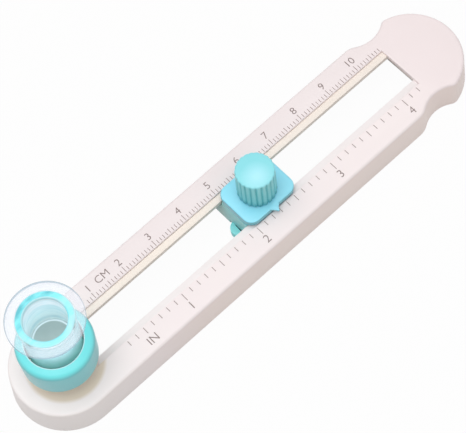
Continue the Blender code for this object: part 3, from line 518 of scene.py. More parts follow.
def block_colour(tree):
    """The block's greyer teal, brownish on the centimetre side, with near-black painted shade behind the
    slit.
    """
    drift = slow_drift(tree, 80)
    inch_side = toned(tree, drift, (160, 226, 228), (152, 219, 221))
    centimetre_side = toned(tree, drift, (168, 218, 214), (160, 210, 206))
    to_centimetres = along(tree, "Y", 1.5, 5.5)
    body = mixed(tree, to_centimetres, inch_side, centimetre_side)
    # Painted shade: near black on the face behind the nose's slit.
    slit_width = between(tree, "Y", -4.3, -4.1, -0.3, -0.1)
    slit_height = between(tree, "Z", 0.95, 1.0, 2.6, 2.7)
    front_skin = along(tree, "X", 56.775, 56.725)
    return mixed(tree, product(tree, slit_width, slit_height, front_skin), body, srgb(10, 24, 28))


def nose_colour(tree):
    """The blade nose's bright teal, with near-black painted shade down in its slit."""
    body = toned(tree, slow_drift(tree, 80), (140, 234, 236), (131, 228, 231))
    # Painted shade: near black down in the slit.
    slit_depth = between(tree, "X", 56.2, 56.26, 57.65, 57.75)
    slit_height = between(tree, "Z", 0.93, 0.99, 2.5, 2.58)
    return mixed(tree, product(tree, slit_depth, slit_height), body, srgb(4, 14, 16))


def knob_colour(tree):
    """The knob's soft teal, with a painted highlight on its top, and painted shade in its flutes and at its
    foot.
    """
    drift = slow_drift(tree, 90)
    ridge = toned(tree, drift, (140, 222, 225), (132, 214, 218))
    # Painted shade: the grooves of the flutes are darker than the ridges.
    groove_shade = toned(tree, drift, (104, 200, 205), (96, 192, 198))
    on_ridge = outside(tree, radius_from_axis(tree, POINTER_X), 4.84, 5.02)
    # Painted shade: darker towards the foot, where the knob meets the plate.
    foot_shade = along(tree, "Z", 14.6, 12.0)
    side = mixed(tree, foot_shade, mixed(tree, on_ridge, groove_shade, ridge), srgb(78, 176, 184))
    # Painted highlight: a pale spot on the top, off centre.
    middle = toned(tree, drift, (178, 242, 254), (172, 240, 251))
    rim = toned(tree, drift, (146, 230, 238), (138, 225, 234))
    lit = inside(tree, radius_from_axis(tree, POINTER_X - 0.7, -1.6), 0.6, 4.2)
    on_top = along(tree, "Z", 21.7, 22.3)
    return mixed(tree, on_top, side, mixed(tree, lit, rim, middle))


def cap_colour(tree):
    """The cup's grey floor, with painted light where the clear wall meets it."""
    body = toned(tree, slow_drift(tree, 110), (178, 198, 196), (150, 172, 171))
    # Painted light: a pale ring at the floor's edge, where light comes down the clear wall.
    rim = outside(tree, radius_from_axis(tree), 4.5, 4.72)
    return mixed(tree, rim, body, srgb(232, 248, 252))


def sky_colour(tree):
    """The carriage plate's sky blue, with painted shade down its edge."""
    drift = slow_drift(tree, 60)
    top = toned(tree, drift, (155, 236, 255), (147, 230, 252))
    # Painted shade: the edge is a darker copy of the top's blue, darkest at its foot.
    edge = toned(tree, drift, (112, 188, 200), (105, 181, 194))
    low_edge_shade = along(tree, "Z", 10.6, 10.0)
    on_top = along(tree, "Z", 11.12, 11.42)
    return mixed(tree, on_top, mixed(tree, low_edge_shade, edge, srgb(88, 184, 200)), top)


# Materials
def moulding(name, draw, gloss, grain=GRAIN, bump=GRAIN_BUMP, coat=None):
    """Moulded plastic in the colour a function draws. A coat is (weight, roughness)."""
    material, tree, shader = new_material(name)
    moulded(tree, shader, draw(tree), gloss, grain, bump)
    if coat:
        feed(tree, shader.inputs, {"Coat Weight": coat[0], "Coat Roughness": coat[1]})
    return material


def plain(name, first, second, gloss, grain=GRAIN):
    """A moulding with a slow drift between two near colours."""
    return moulding(name, lambda tree: toned(tree, slow_drift(tree, 60), first, second), gloss, grain)


def metal(name, tone, roughness, stretch):
    """Metal with fine drawn or turned lines."""
    material, tree, shader = new_material(name)
    lines = noise(tree, METAL_LINES, 4, stretch)
    dark = [level * METAL_DARKER for level in tone]
    low, high = METAL_GLOSS
    feed(tree, shader.inputs, {
        "Base Color": mixed(tree, span(tree, lines, 0, 1), (*tone, 1), (*dark, 1)),
        "Roughness": span(tree, lines, roughness * low, roughness * high),
        "Metallic": 1,
        "Normal": bumps(tree, lines, 0.2, 0.01),
    })
    return material


def printed_ink(name, dark, light):
    """Greyish brown ink, a little patchy."""
    material, tree, shader = new_material(name)
    patchy = span(tree, noise(tree, INK_GRAIN, 2), 0, 1)
    feed(tree, shader.inputs, {"Base Color": toned(tree, patchy, dark, light), "Roughness": INK_ROUGHNESS})
    return material


# Clear cup's material
def cup_walls(tree, radius):
    """Painted light in the bore: pale and banded, and paler at the floor, with a painted highlight at its
    top edge, and the teal collar's light painted in green low on the outside.
    """
    # Painted light: the bore is pale, with bands and a paler floor, for light that comes through the clear
    # wall.
    up_bore = along(tree, "Z", 25, 36)
    bore = toned(tree, up_bore, (224, 244, 250), (236, 244, 251))
    bands = span(tree, noise(tree, 90, 2, (1, 1, 7)), 0, 0.75, 0.42, 0.62)
    bore = mixed(tree, bands, bore, srgb(198, 226, 236))
    at_floor = along(tree, "Z", 26.3, 25.6)
    bore = mixed(tree, at_floor, bore, srgb(236, 250, 254))
    # Painted light: green from the teal collar, low on the outside.
    up_outside = along(tree, "Z", 24.6, 31)
    outer = toned(tree, up_outside, (120, 184, 176), (178, 218, 222))
    off_bore = outside(tree, radius, 6.2, 6.6)
    # Painted highlight: a lit edge at the bore's top.
    rim_highlight = product(tree, along(tree, "Z", 37.2, 37.7), inside(tree, radius, 5.6, 5.75))
    return mixed(tree, rim_highlight, mixed(tree, off_bore, bore, outer), srgb(196, 246, 253))


def cup_ring(tree, radius, near_top):
    """The wall seen end on, where painted light piped up from the collar shows: a narrow ring on the far
    half and a wide soft one on the near half.
    """
    far_ring = product(tree, inside(tree, radius, 6.85, 7.0), outside(tree, radius, 5.5, 5.66))
    near_ring = inside(tree, radius, 6.6, 7.3)
    near_half = along(tree, "Y", 0.6, -1.6)
    return product(tree, mixed(tree, near_half, far_ring, near_ring), near_top)


def cup_aqua(tree):
    """The painted aqua light piped up the wall from the collar: strong with dark patches on the far half,
    soft on the near half.
    """
    patch = span(tree, noise(tree, 170, 2, (1, 2.2, 1)), 0, 1, 0.44, 0.62)
    strong = toned(tree, patch, (120, 242, 250), (52, 190, 206))
    soft = toned(tree, patch, (146, 246, 254), (176, 244, 253))
    to_near_half = along(tree, "Y", 2.6, 0.8)
    return mixed(tree, to_near_half, strong, soft)


def light_through(tree, colour):
    """Light that comes through the plastic from behind, brighter than its colour."""
    brighter = node(tree, "ShaderNodeVectorMath", {0: colour, "Scale": CUP_GLOW}, operation="SCALE")
    return node(tree, "ShaderNodeBsdfTranslucent", {"Color": brighter.outputs["Vector"]}).outputs[0]


def clear_view(tree, radius):
    """What is seen straight through, with a painted dark line along the flange's rim, darker on the far
    side.
    """
    to_near_side = along(tree, "Y", 2, -4)
    # Painted shade: a dark line round the flange's rim.
    rim_shade_line = toned(tree, to_near_side, (176, 200, 212), (222, 236, 242))
    at_rim = outside(tree, radius, 9.36, 9.5)
    tint = mixed(tree, at_rim, srgb(252, 254, 255), rim_shade_line)
    return node(tree, "ShaderNodeBsdfTransparent", {"Color": tint}).outputs[0]


def cup_body_share(tree, radius, near_top):
    """How much of the plastic itself shows, and less of it for light that passes on."""
    wall_end = product(tree, near_top, inside(tree, radius, 6.9, 7.1))
    in_flange = outside(tree, radius, 7.0, 7.3)
    share = mixed(tree, in_flange, mixed(tree, wall_end, CUP_WALL_BODY, CUP_END_BODY), CUP_FLANGE_BODY)
    light_ray = any_ray(tree, "Is Shadow Ray", "Is Diffuse Ray")
    return product(tree, share, span(tree, light_ray, 1, CUP_LIGHT_SHARE, 0, 1))


def clear_plastic():
    """Clear plastic, milky: with painted aqua light at the wall's end and painted light in the bore, lilac
    in the flange.
    """
    material, tree, shader = new_material("clear_cup")
    radius = radius_from_axis(tree)
    near_top = along(tree, "Z", 36.9, 37.5)
    in_flange = outside(tree, radius, 7.0, 7.2)
    colour = mixed(tree, in_flange, cup_walls(tree, radius), srgb(244, 244, 253))
    # Painted light: the aqua ring where the wall's end meets the flange's top.
    colour = mixed(tree, cup_ring(tree, radius, near_top), colour, cup_aqua(tree))
    moulded(tree, shader, colour, (0.06, 0.1), 500, 0.05, 0.01)
    # Painted glow: below the flange's top, the wall passes light brighter than its colour.
    below_flange = along(tree, "Z", 37.6, 36.6)
    glow_share = product(tree, inside(tree, radius, 7.0, 7.6, 0.5), below_flange)
    milky = blended(tree, glow_share, shader.outputs[0], light_through(tree, colour))
    share = cup_body_share(tree, radius, near_top)
    show(tree, blended(tree, share, clear_view(tree, radius), milky))
    return material


def make_materials():
    """Every material of the pieces, by a short name."""
    gloss_coat = (0.15, 0.15)
    return {
        "shell": moulding("shell_white", shell_colour, (0.42, 0.54), 2200, 0.3),
        "cream": moulding("ledge_cream", ledge_colour, (0.4, 0.5), 2400, 0.3),
        "collar": moulding("collar_teal", collar_colour, (0.3, 0.38), coat=gloss_coat),
        "knob": moulding("knob_teal", knob_colour, (0.36, 0.46), coat=(0.1, 0.3)),
        "block": moulding("block_teal", block_colour, (0.36, 0.46)),
        "nose": moulding("nose_teal", nose_colour, (0.34, 0.42)),
        "sky": moulding("sky_plastic", sky_colour, (0.28, 0.36), coat=gloss_coat),
        "cap": moulding("cap_grey", cap_colour, (0.36, 0.46), 900),
        "base": plain("base_white", (244, 235, 233), (240, 230, 229), (0.44, 0.56), 1800),
        "grey": plain("grey_plastic", (150, 178, 178), (142, 170, 170), (0.44, 0.56)),
        "rubber": plain("pad_rubber", (66, 68, 70), (54, 56, 58), (0.748, 0.952), 5000),
        "steel": metal("plated_steel", (0.62, 0.62, 0.61), 0.28, (1, 1, 12)),
        "blade": metal("blade_steel", (0.42, 0.43, 0.45), 0.24, (1, 14, 1)),
        "brass": metal("nut_brass", (0.78, 0.58, 0.26), 0.3, (1, 1, 10)),
        "clear": clear_plastic(),
        "ink": printed_ink("printed_ink", (124, 108, 106), (146, 130, 127)),
        "tick_ink": printed_ink("tick_ink", (148, 132, 130), (172, 156, 152)),
    }


# Outlines, in millimetres
def arc(centre, radius, start, end, steps):
    """Points along an arc, both ends among them."""
    angles = [start + (end - start) * index / steps for index in range(steps + 1)]
    return [Vector((centre[0] + radius * math.cos(a), centre[1] + radius * math.sin(a))) for a in angles]


def angle_to(centre, point):
    """The direction of a point from a centre."""
    return math.atan2(point[1] - centre[1], point[0] - centre[0])


def rectangle(low_x, low_y, high_x, high_y):
    """The four corners of a rectangle."""
    corners = [(low_x, low_y), (high_x, low_y), (high_x, high_y), (low_x, high_y)]
    return [Vector(corner) for corner in corners]


def cornered(half_x, half_y, radius):
    """A rectangle with rounded corners."""
    points = []
    for quarter, (side_x, side_y) in enumerate(((1, 1), (-1, 1), (-1, -1), (1, -1))):
        centre = (side_x * (half_x - radius), side_y * (half_y - radius))
        points += arc(centre, radius, quarter * QUARTER, (quarter + 1) * QUARTER, PLATE_CORNER_STEPS)
    return points


def rounding(radius, steps):
    """(inset, drop) at each step of a rounded edge, from the side up to the flat top."""
    turns = [QUARTER * step / steps for step in range(steps + 1)]
    return [(radius * (1 - math.cos(turn)), radius * (1 - math.sin(turn))) for turn in turns]


def low_rings(outline, low, edge):
    """The two lowest rings of a body with a slanted lower edge."""
    return [(outline(edge), low), (outline(0), low + edge)]


def circles_meet(first, first_radius, second, second_radius):
    """The place where two circles meet, on the side of the head's tip."""
    line = second - first
    run = (line.length_squared + first_radius**2 - second_radius**2) / (2 * line.length)
    side = math.sqrt(max(first_radius**2 - run**2, 0))
    unit = line.normalized()
    return first + unit * run + Vector((unit.y, -unit.x)) * side


def beam_outline(inset, waist_x=WAIST_X):
    """The beam from above, drawn in by inset, with the same number of points at every inset."""
    end_radius = BEAM_HALF - inset
    head_radius = HEAD_RADIUS - inset
    hollow_radius = HOLLOW_RADIUS + inset
    shoulder_radius = SHOULDER_RADIUS - inset
    corner_radius = max(CORNER_RADIUS - inset, LEAST_CORNER)
    head = Vector((HEAD_X, 0))
    hollow = Vector((waist_x, WAIST_HALF + HOLLOW_RADIUS))
    shoulder_y = end_radius - shoulder_radius
    reach = hollow_radius + shoulder_radius
    shoulder = Vector((hollow.x - math.sqrt(reach**2 - (hollow.y - shoulder_y) ** 2), shoulder_y))
    corner = circles_meet(head, head_radius - corner_radius, hollow, hollow_radius + corner_radius)
    waist_start = angle_to(hollow, shoulder) + TAU
    waist_end = angle_to(hollow, corner) + TAU
    tip_start = angle_to(head, corner)
    upper = arc((0, 0), end_radius, math.pi, QUARTER, END_STEPS)
    upper += arc(shoulder, shoulder_radius, QUARTER, angle_to(shoulder, hollow), SHOULDER_STEPS)
    upper += arc(hollow, hollow_radius, waist_start, waist_end, WAIST_STEPS)[1:]
    upper += arc(corner, corner_radius, angle_to(corner, hollow), tip_start, CORNER_STEPS)[1:-1]
    upper += arc(head, head_radius, tip_start, 0, HEAD_STEPS)
    lower = [Vector((point.x, -point.y)) for point in reversed(upper[1:-1])]
    return upper + lower


def slot_outline(radius, low_y, high_y, end_x):
    """An arc round the pivot at one end and square in the head."""
    points = arc((0, 0), radius, math.asin(high_y / radius), math.asin(low_y / radius), SLOT_STEPS)
    return points + [Vector((end_x, low_y)), Vector((end_x, high_y))]


def frame_outline(half_width, end_x):
    """A strip that is round about the pivot and square in the head."""
    points = arc((0, 0), half_width, QUARTER, 3 * QUARTER, FRAME_STEPS)
    return points + [Vector((end_x, -half_width)), Vector((end_x, half_width))]


def plate_outline(inset):
    """The carriage plate from above."""
    return cornered(PLATE_HALF_LENGTH - inset, PLATE_HALF_WIDTH - inset, PLATE_CORNER - inset)


def step_outline():
    """The narrower step under the plate, flush with the block's ends."""
    half_width = PLATE_HALF_WIDTH - PLATE_STEP - STEP_INSET
    return cornered(PLATE_HALF_LENGTH - STEP_INSET, half_width, STEP_CORNER)


def pointer_outline(inset):
    """The pointer from above, with slightly hollow flanks."""
    root = PLATE_HALF_WIDTH - POINTER_OVERLAP
    length = POINTER_REACH + POINTER_OVERLAP - inset * POINTER_END_SHARE
    flank = []
    for index in range(POINTER_STEPS + 1):
        share = index / POINTER_STEPS
        half = POINTER_TIP + (POINTER_HALF - POINTER_TIP) * (1 - share) ** POINTER_HOLLOW
        flank.append((max(half - inset * POINTER_EDGE_SHARE, POINTER_LEAST), -root - length * share))
    return [Vector((-x, y)) for x, y in flank] + [Vector((x, y)) for x, y in reversed(flank)]


def knob_ring(radius, depth):
    """The knob from above, with its flutes cut in by depth."""
    count = KNOB_FLUTES * FLUTE_POINTS
    points = []
    for index in range(count):
        turn = TAU * index / count
        wave = abs(math.sin(turn * KNOB_FLUTES / 2))
        reach = radius - depth * (1 - wave) ** FLUTE_POWER
        points.append(Vector((reach * math.cos(turn), reach * math.sin(turn))))
    return points


def filleted(corners, steps=5):
    """A (radius, z) profile with rounded corners: each corner is (radius, z, fillet)."""
    points = []
    count = len(corners)
    for index, (radius, z, fillet) in enumerate(corners):
        here = Vector((radius, z))
        before = Vector(corners[index - 1][:2]) - here
        after = Vector(corners[(index + 1) % count][:2]) - here
        if not fillet:
            points.append(here)
            continue
        start = here + before.normalized() * fillet
        end = here + after.normalized() * fillet
        for step in range(steps + 1):
            share = step / steps
            points.append(start.lerp(here, share).lerp(here.lerp(end, share), share))
    return points


# Meshes
def skinned(body, loops):
    """The body closed over loops of equal length, from end to end."""
    for low, high in zip(loops, loops[1:]):
        for index in range(len(low)):
            following = (index + 1) % len(low)
            body.faces.new((low[index], low[following], high[following], high[index]))
    body.faces.new(loops[0])
    body.faces.new(loops[-1])
    bmesh.ops.recalc_face_normals(body, faces=body.faces)
    return body


def lofted(rings, body=None):
    """A closed body through rings of (points, z)."""
    body = body or bmesh.new()
    return skinned(body, [[body.verts.new((p.x, p.y, z)) for p in points] for points, z in rings])


def prism(points, low, high, body=None):
    """A straight upright body on an outline."""
    return lofted([(points, low), (points, high)], body)


def box(low, high):
    """A box between two corners, each (x, y, z)."""
    return prism(rectangle(low[0], low[1], high[0], high[1]), low[2], high[2])


def tube(radius, low, high, sides=96, centre=(0, 0)):
    """A solid round bar."""
    return prism(arc(centre, radius, 0, TAU, sides)[:-1], low, high)


def revolved(profile, sides=128):
    """A body turned about Z from a (radius, z) profile, closed or with both ends on the axis."""
    body = bmesh.new()
    angles = [TAU * side / sides for side in range(sides)]
    rings = []
    for radius, z in profile:
        if radius < 1e-6:
            rings.append([body.verts.new((0, 0, z))])
        else:
            rings.append([body.verts.new((radius * math.cos(a), radius * math.sin(a), z)) for a in angles])
    pairs = list(zip(rings, rings[1:]))
    if all(len(ring) > 1 for ring in rings):
        pairs.append((rings[-1], rings[0]))
    for first, second in pairs:
        for side in range(sides):
            following = (side + 1) % sides
            corners = [first[side % len(first)], first[following % len(first)]]
            corners += [second[following % len(second)], second[side % len(second)]]
            unique = list(dict.fromkeys(corners))
            if len(unique) > 2:
                body.faces.new(unique)
    bmesh.ops.recalc_face_normals(body, faces=body.faces)
    return body


def shift(body, x, y=0.0):
    """Moves a body over the floor."""
    bmesh.ops.translate(body, verts=body.verts, vec=(x, y, 0))


def new_object(name, data):
    """An object in the scene."""
    item = bpy.data.objects.new(name, data)
    bpy.context.scene.collection.objects.link(item)
    return item


def as_object(body, name="part"):
    """A mesh object from a body, which is used up."""
    mesh = bpy.data.meshes.new(name)
    body.to_mesh(mesh)
    body.free()
    return new_object(name, mesh)


def shaped(body, operations):
    """The body after exact Booleans: each operation is (kind, other body)."""
    base = as_object(body)
    helpers = []
    for kind, other in operations:
        helper = as_object(other)
        helpers.append(helper)
        modifier = base.modifiers.new("cut", "BOOLEAN")
        modifier.operation = kind
        modifier.solver = "EXACT"
        modifier.object = helper
    bpy.context.view_layer.update()
    result = bmesh.new()
    evaluated = base.evaluated_get(bpy.context.evaluated_depsgraph_get())
    result.from_mesh(evaluated.to_mesh())
    for item in (base, *helpers):
        bpy.data.objects.remove(item, do_unlink=True)
    return result


def merged(body, distance):
    """Doubled points and needless flat edges taken out."""
    bmesh.ops.remove_doubles(body, verts=body.verts, dist=distance)
    bmesh.ops.dissolve_limit(body, angle_limit=FLAT, verts=body.verts, edges=body.edges)


def bevelled(body, angle, width, steps, chosen=lambda spot: True):
    """Rounds the edges that turn by more than an angle and have both ends chosen."""
    edges = [
        edge
        for edge in body.edges
        if len(edge.link_faces) == 2
        and edge.calc_face_angle(0) > angle
        and all(chosen(vertex.co) for vertex in edge.verts)
    ]
    bmesh.ops.bevel(
        body, geom=edges, offset=width, segments=steps, profile=0.5, affect="EDGES", clamp_overlap=True
    )


# Pieces
def finish_mesh(name, body, material, smooth=SMOOTH, unit=MM):
    """An object with its material, from a body in this unit."""
    bmesh.ops.scale(body, vec=(unit, unit, unit), verts=body.verts)
    piece = as_object(body, name)
    piece.data.shade_smooth()
    piece.data.set_sharp_from_angle(angle=smooth)
    piece.data.materials.append(material)
    return piece


def place(piece, body, slot, *nodes):
    """The piece rides on a body and may stand for CAD nodes, which it hides. The slot is not used."""
    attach(piece, body)
    if nodes:
        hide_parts(*nodes)


def add_piece(name, body, material, rides_on, slot, *nodes, smooth=SMOOTH):
    """A finished piece from a body in millimetres."""
    place(finish_mesh(name, body, material, smooth), rides_on, slot, *nodes)


def dressed(node, name, material, body, slot, width):
    """A CAD node's own shape with its hard edges rounded."""
    made = bmesh.new()
    made.from_mesh(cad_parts[node].data)
    merged(made, 1e-6)
    bevelled(made, DRESSED_HARD, width * MM, 2)
    place(finish_mesh(name, made, material, unit=1), body, slot, node)


# Beam pieces
def make_shell(paint):
    """The top shell: hollow below, with rounded edges, the slot and the neck of the pivot."""
    side_top = BEAM_TOP - EDGE_RADIUS
    rings = []
    for rise, inset in rounding(FOOT_EDGE, FOOT_STEPS):
        lean = BEAM_DRAFT * (2 * rise / side_top - 1)
        rings.append((beam_outline(lean + inset), rise))
    for inset, drop in rounding(EDGE_RADIUS, EDGE_STEPS):
        rings.append((beam_outline(BEAM_DRAFT + inset), BEAM_TOP - drop))
    hollow = beam_outline(WALL, INNER_WAIST_X)
    slot = slot_outline(SLOT_RADIUS, SLOT_INCH, SLOT_CM, SLOT_END)
    body = shaped(lofted(rings), [
        ("DIFFERENCE", prism(hollow, INSIDE_LOW, INSIDE_TOP)),
        ("DIFFERENCE", prism(slot, *SLOT_CUT)),
        ("UNION", tube(NECK_RADIUS, NECK_LOW, NECK_HIGH)),
        ("DIFFERENCE", tube(NECK_BORE, *NECK_CUT)),
    ])

    def on_slot_edge(spot):
        return (
            abs(spot.z - BEAM_TOP) < SAME
            and SLOT_START < spot.x < SLOT_END + SAME
            and SLOT_INCH - SAME < spot.y < SLOT_CM + SAME
            and math.hypot(spot.x, spot.y) > NECK_RADIUS + NECK_MARGIN
        )

    bevelled(body, SLOT_HARD, SLOT_EDGE, 3, on_slot_edge)
    add_piece("beam_shell", body, paint["shell"], "beam", "white_plastic", "top_shell")


def make_frame(paint):
    """The slide frame: a channel whose two lips are the ledges inside the slot."""
    outer = frame_outline(FRAME_HALF, FRAME_END)
    channel = frame_outline(CHANNEL_HALF, CHANNEL_END)
    lips = slot_outline(
        SLOT_RADIUS + LEDGE_SEAM, SLOT_INCH + LEDGE_SEAM, SLOT_CM - LEDGE_SEAM, SLOT_END - LEDGE_SEAM
    )
    opening = slot_outline(SLOT_RADIUS, LEDGE_INCH, LEDGE_CM, OPENING_END)
    wide = slot_outline(SLOT_RADIUS, LEDGE_INCH - LIP_CHAMFER, LEDGE_CM + LIP_CHAMFER, OPENING_END)
    chamfer = [(wide, LIP_LOW - PAST), (wide, LIP_LOW), (opening, LIP_LOW + LIP_CHAMFER)]
    body = shaped(prism(outer, FRAME_LOW, FLANGE_TOP), [
        ("UNION", prism(lips, (LIP_LOW + FLANGE_TOP) / 2, LEDGE_TOP)),
        ("DIFFERENCE", prism(channel, FRAME_LOW - PAST, LIP_LOW)),
        ("DIFFERENCE", prism(opening, LIP_LOW - PAST, LEDGE_TOP + PAST)),
        ("DIFFERENCE", lofted(chamfer)),
        ("DIFFERENCE", tube(NECK_RADIUS + FRAME_NECK_GAP, LIP_LOW - PAST, LEDGE_TOP + PAST)),
    ])
    merged(body, 1e-4)
    bevelled(body, HARD, FRAME_EDGE, 2, lambda spot: abs(spot.z - LEDGE_TOP) < SAME)
    add_piece("ledge_frame", body, paint["cream"], "beam", "cream_plastic", "slide_frame")


def make_collar(paint):
    """The teal ring round the pivot."""
    body = revolved(filleted(COLLAR_PROFILE))
    add_piece("collar_ring", body, paint["collar"], "beam", "teal_plastic", "pivot_collar")


# Pivot pieces
def make_cup(paint):
    """The flanged finger cup, with a socket for the spindle and a hole for its screw below."""
    body = revolved(filleted(CUP_PROFILE))
    add_piece("clear_cup", body, paint["clear"], "pivot", "clear_plastic", "finger_cup")


def make_cap(paint):
    """The grey floor inside the cup."""
    body = revolved(filleted(CAP_PROFILE))
    add_piece("cup_floor", body, paint["cap"], "pivot", "grey_plastic", "cup_cap")


def make_pad(paint):
    """The pad, with shallow rings pressed into its underside."""
    corners = [(0, PAD_HIGH, 0), (PAD_RADIUS, PAD_HIGH, 0.1), (PAD_RADIUS, 0, 0.15)]
    radius = PAD_RADIUS - RING_WIDTH
    while radius > RING_LEAST:
        inner = radius - RING_WIDTH
        corners += [
            (radius, 0, RING_FILLET),
            (radius - RING_SLOPE, RING_DEPTH, RING_FILLET),
            (inner + RING_SLOPE, RING_DEPTH, RING_FILLET),
            (inner, 0, RING_FILLET),
        ]
        radius -= RING_PITCH
    corners.append((0, 0, 0))
    pad = revolved(filleted(corners, 2), 96)
    add_piece("ringed_pad", pad, paint["rubber"], "pivot", "rubber", "non_slip_pad")


# Carriage pieces
def make_plate(paint):
    """The carriage plate with its pointer, the step under it and the hole for the clamp screw."""
    rings = low_rings(plate_outline, PLATE_RIM_LOW, PLATE_RIM_EDGE)
    pointer = low_rings(pointer_outline, POINTER_LOW, POINTER_LOW_EDGE)
    for inset, drop in rounding(PLATE_EDGE, PLATE_EDGE_STEPS):
        rings.append((plate_outline(inset), PLATE_HIGH - drop))
        pointer_top = PLATE_HIGH - POINTER_DROP - drop * POINTER_EDGE_SHARE
        pointer.append((pointer_outline(inset * POINTER_EDGE_SHARE), pointer_top))
    body = shaped(lofted(rings), [
        ("UNION", prism(step_outline(), PLATE_LOW, PLATE_RIM_LOW + STEP_OVERLAP)),
        ("UNION", lofted(pointer)),
        ("DIFFERENCE", tube(PLATE_HOLE, *PLATE_CUT, 48)),
    ])
    shift(body, POINTER_X)
    add_piece("slide_plate", body, paint["sky"], "carriage", "sky_plastic", "carriage_plate")


def make_knob(paint):
    """The knob: flutes that fade into a rounded edge, and a soft dome."""
    side_top = KNOB_HIGH - KNOB_EDGE
    rings = [
        (knob_ring(KNOB_BASE - KNOB_FOOT_INSET, FLUTE_DEPTH), KNOB_LOW),
        (knob_ring(KNOB_BASE, FLUTE_DEPTH), KNOB_LOW + KNOB_FOOT_HIGH),
    ]
    for step in range(FLUTE_FADE_STEPS + 1):
        share = step / FLUTE_FADE_STEPS
        z = side_top - FLUTE_FADE * (1 - share)
        radius = KNOB_BASE + (KNOB_TOP - KNOB_BASE) * (z - KNOB_LOW) / (side_top - KNOB_LOW)
        rings.append((knob_ring(radius, FLUTE_DEPTH * (1 - (1 - FLUTE_LEFT) * share**2)), z))
    for inset, drop in rounding(KNOB_EDGE, KNOB_EDGE_STEPS)[1:]:
        depth = FLUTE_DEPTH * FLUTE_LEFT * (1 - inset / KNOB_EDGE)
        rings.append((knob_ring(KNOB_TOP - inset, depth), KNOB_HIGH - drop))
    for share in KNOB_DOME_SHARES:
        z = KNOB_HIGH + KNOB_DOME * (1 - share**2)
        rings.append((knob_ring((KNOB_TOP - KNOB_EDGE) * share, 0), z))
    body = shaped(lofted(rings), [("DIFFERENCE", tube(KNOB_HOLE, *KNOB_CUT, 64))])
    shift(body, POINTER_X)
    add_piece("fluted_knob", body, paint["knob"], "knob", "teal_plastic", "clamp_knob", smooth=KNOB_SMOOTH)


def make_nose(paint):
    """A half-round nose and its tongue, with a slit that narrows towards the centimetre side."""
    slit = [Vector(corner) for corner in SLIT]
    under = NOSE_LOW - PAST
    body = shaped(tube(NOSE_RADIUS, NOSE_LOW, NOSE_HIGH, 96, NOSE_CENTRE), [
        ("UNION", box(*TONGUE)),
        ("DIFFERENCE", box(*ABOVE_TONGUE)),
        ("DIFFERENCE", prism(slit, SLIT_LOW, NOSE_HIGH + PAST)),
        ("DIFFERENCE", box(*BLADE_SLOT)),
        ("DIFFERENCE", tube(NOSE_SCREW_HOLE, under, NOSE_HIGH, 32, NOSE_SCREW_PLACE)),
        ("DIFFERENCE", tube(NOSE_SCREW_RECESS, under, NOSE_RECESS_TOP, 48, NOSE_SCREW_PLACE)),
    ])

    def on_rim(spot):
        return abs(spot.z - NOSE_HIGH) < SAME and spot.x < NOSE_FRONT

    bevelled(body, HARD, NOSE_EDGE, 2, on_rim)
    add_piece("blade_nose", body, paint["nose"], "carriage", "teal_plastic", "blade_holder")


def make_blade(paint):
    """A pointed blade whose two cutting edges are ground from both faces."""
    body = bmesh.new()
    layers = ((BLADE_FACE, -BLADE_HALF_THICK), (BLADE_OUTLINE, 0), (BLADE_FACE, BLADE_HALF_THICK))
    skinned(body, [
        [body.verts.new((BLADE_X + x, NOSE_Y + y, z)) for y, z in points] for points, x in layers
    ])
    add_piece("ground_blade", body, paint["blade"], "carriage", "blade_steel", "blade", smooth=BLADE_SMOOTH)


# Screws
def screw_profile(head, shaft, low, seat, tip):
    """The corners of a screw from its face below, over its ridged shaft, to its tip above."""
    corners = [
        (0, low, 0),
        (head * SCREW_FLAT_SHARE, low, 0.12),
        (head, low + SCREW_EDGE, 0.14),
        (head, seat, 0.06),
        (shaft, seat, 0),
    ]
    z = seat + THREAD_START
    while z + THREAD_PITCH < tip - shaft:
        corners += [(shaft - THREAD_DEPTH, z, 0), (shaft, z + THREAD_PITCH / 2, 0)]
        z += THREAD_PITCH
    return corners + [(shaft, tip - shaft / 2, 0.1), (0, tip, 0)]


def make_screw(node, name, paint, body, spot, size):
    """A screw whose cross-recessed head is below."""
    head, low = size[0], size[2]
    arm = head * CROSS_ARM_SHARE
    under, deep = low - PAST, low + CROSS_DEPTH
    made = shaped(revolved(filleted(screw_profile(*size), 3), 48), [
        ("DIFFERENCE", box((-arm, -CROSS_HALF, under), (arm, CROSS_HALF, deep))),
        ("DIFFERENCE", box((-CROSS_HALF, -arm, under), (CROSS_HALF, arm, deep))),
    ])
    shift(made, *spot)
    add_piece(name, made, paint["steel"], body, "steel", node)


def make_screws(paint):
    """Six base screws in mirrored pairs, two carriage screws and the nose's screw."""
    side = (FRAME_HALF + BEAM_HALF - WALL) / 2
    corner = side * math.sqrt(0.5)
    pairs = [(-corner, corner), (MIDDLE_SCREW_X, side), HEAD_SCREW]
    spots = [(x, hand * y) for x, y in pairs for hand in (1, -1)]
    for number, spot in enumerate(spots, start=1):
        node = f"base_screw_{number}"
        make_screw(node, f"panel_{node}", paint, "beam", spot, BASE_SCREW)
    for number, (x, y) in enumerate(CARRIAGE_SCREWS, start=1):
        node = f"carriage_screw_{number}"
        make_screw(node, f"block_{node}", paint, "carriage", (POINTER_X + x, y), CARRIAGE_SCREW)
    make_screw("blade_screw", "nose_screw", paint, "carriage", NOSE_SCREW_PLACE, NOSE_SCREW)


# Printed scales
def make_ticks(paint):
    """Tenths of an inch on one side of the slot and millimetres on the other."""
    for name, zero, pitch, numbers, half, edge, lengths in TICK_ROWS:
        body = bmesh.new()
        for number in numbers:
            x = zero + pitch * number
            length = next(length for step, length in lengths if number % step == 0)
            low, high = sorted((edge, edge + length))
            prism(rectangle(x - half, low, x + half, high), BEAM_TOP, BEAM_TOP + INK, body)
        add_piece(name, body, paint["tick_ink"], "beam", "white_plastic")


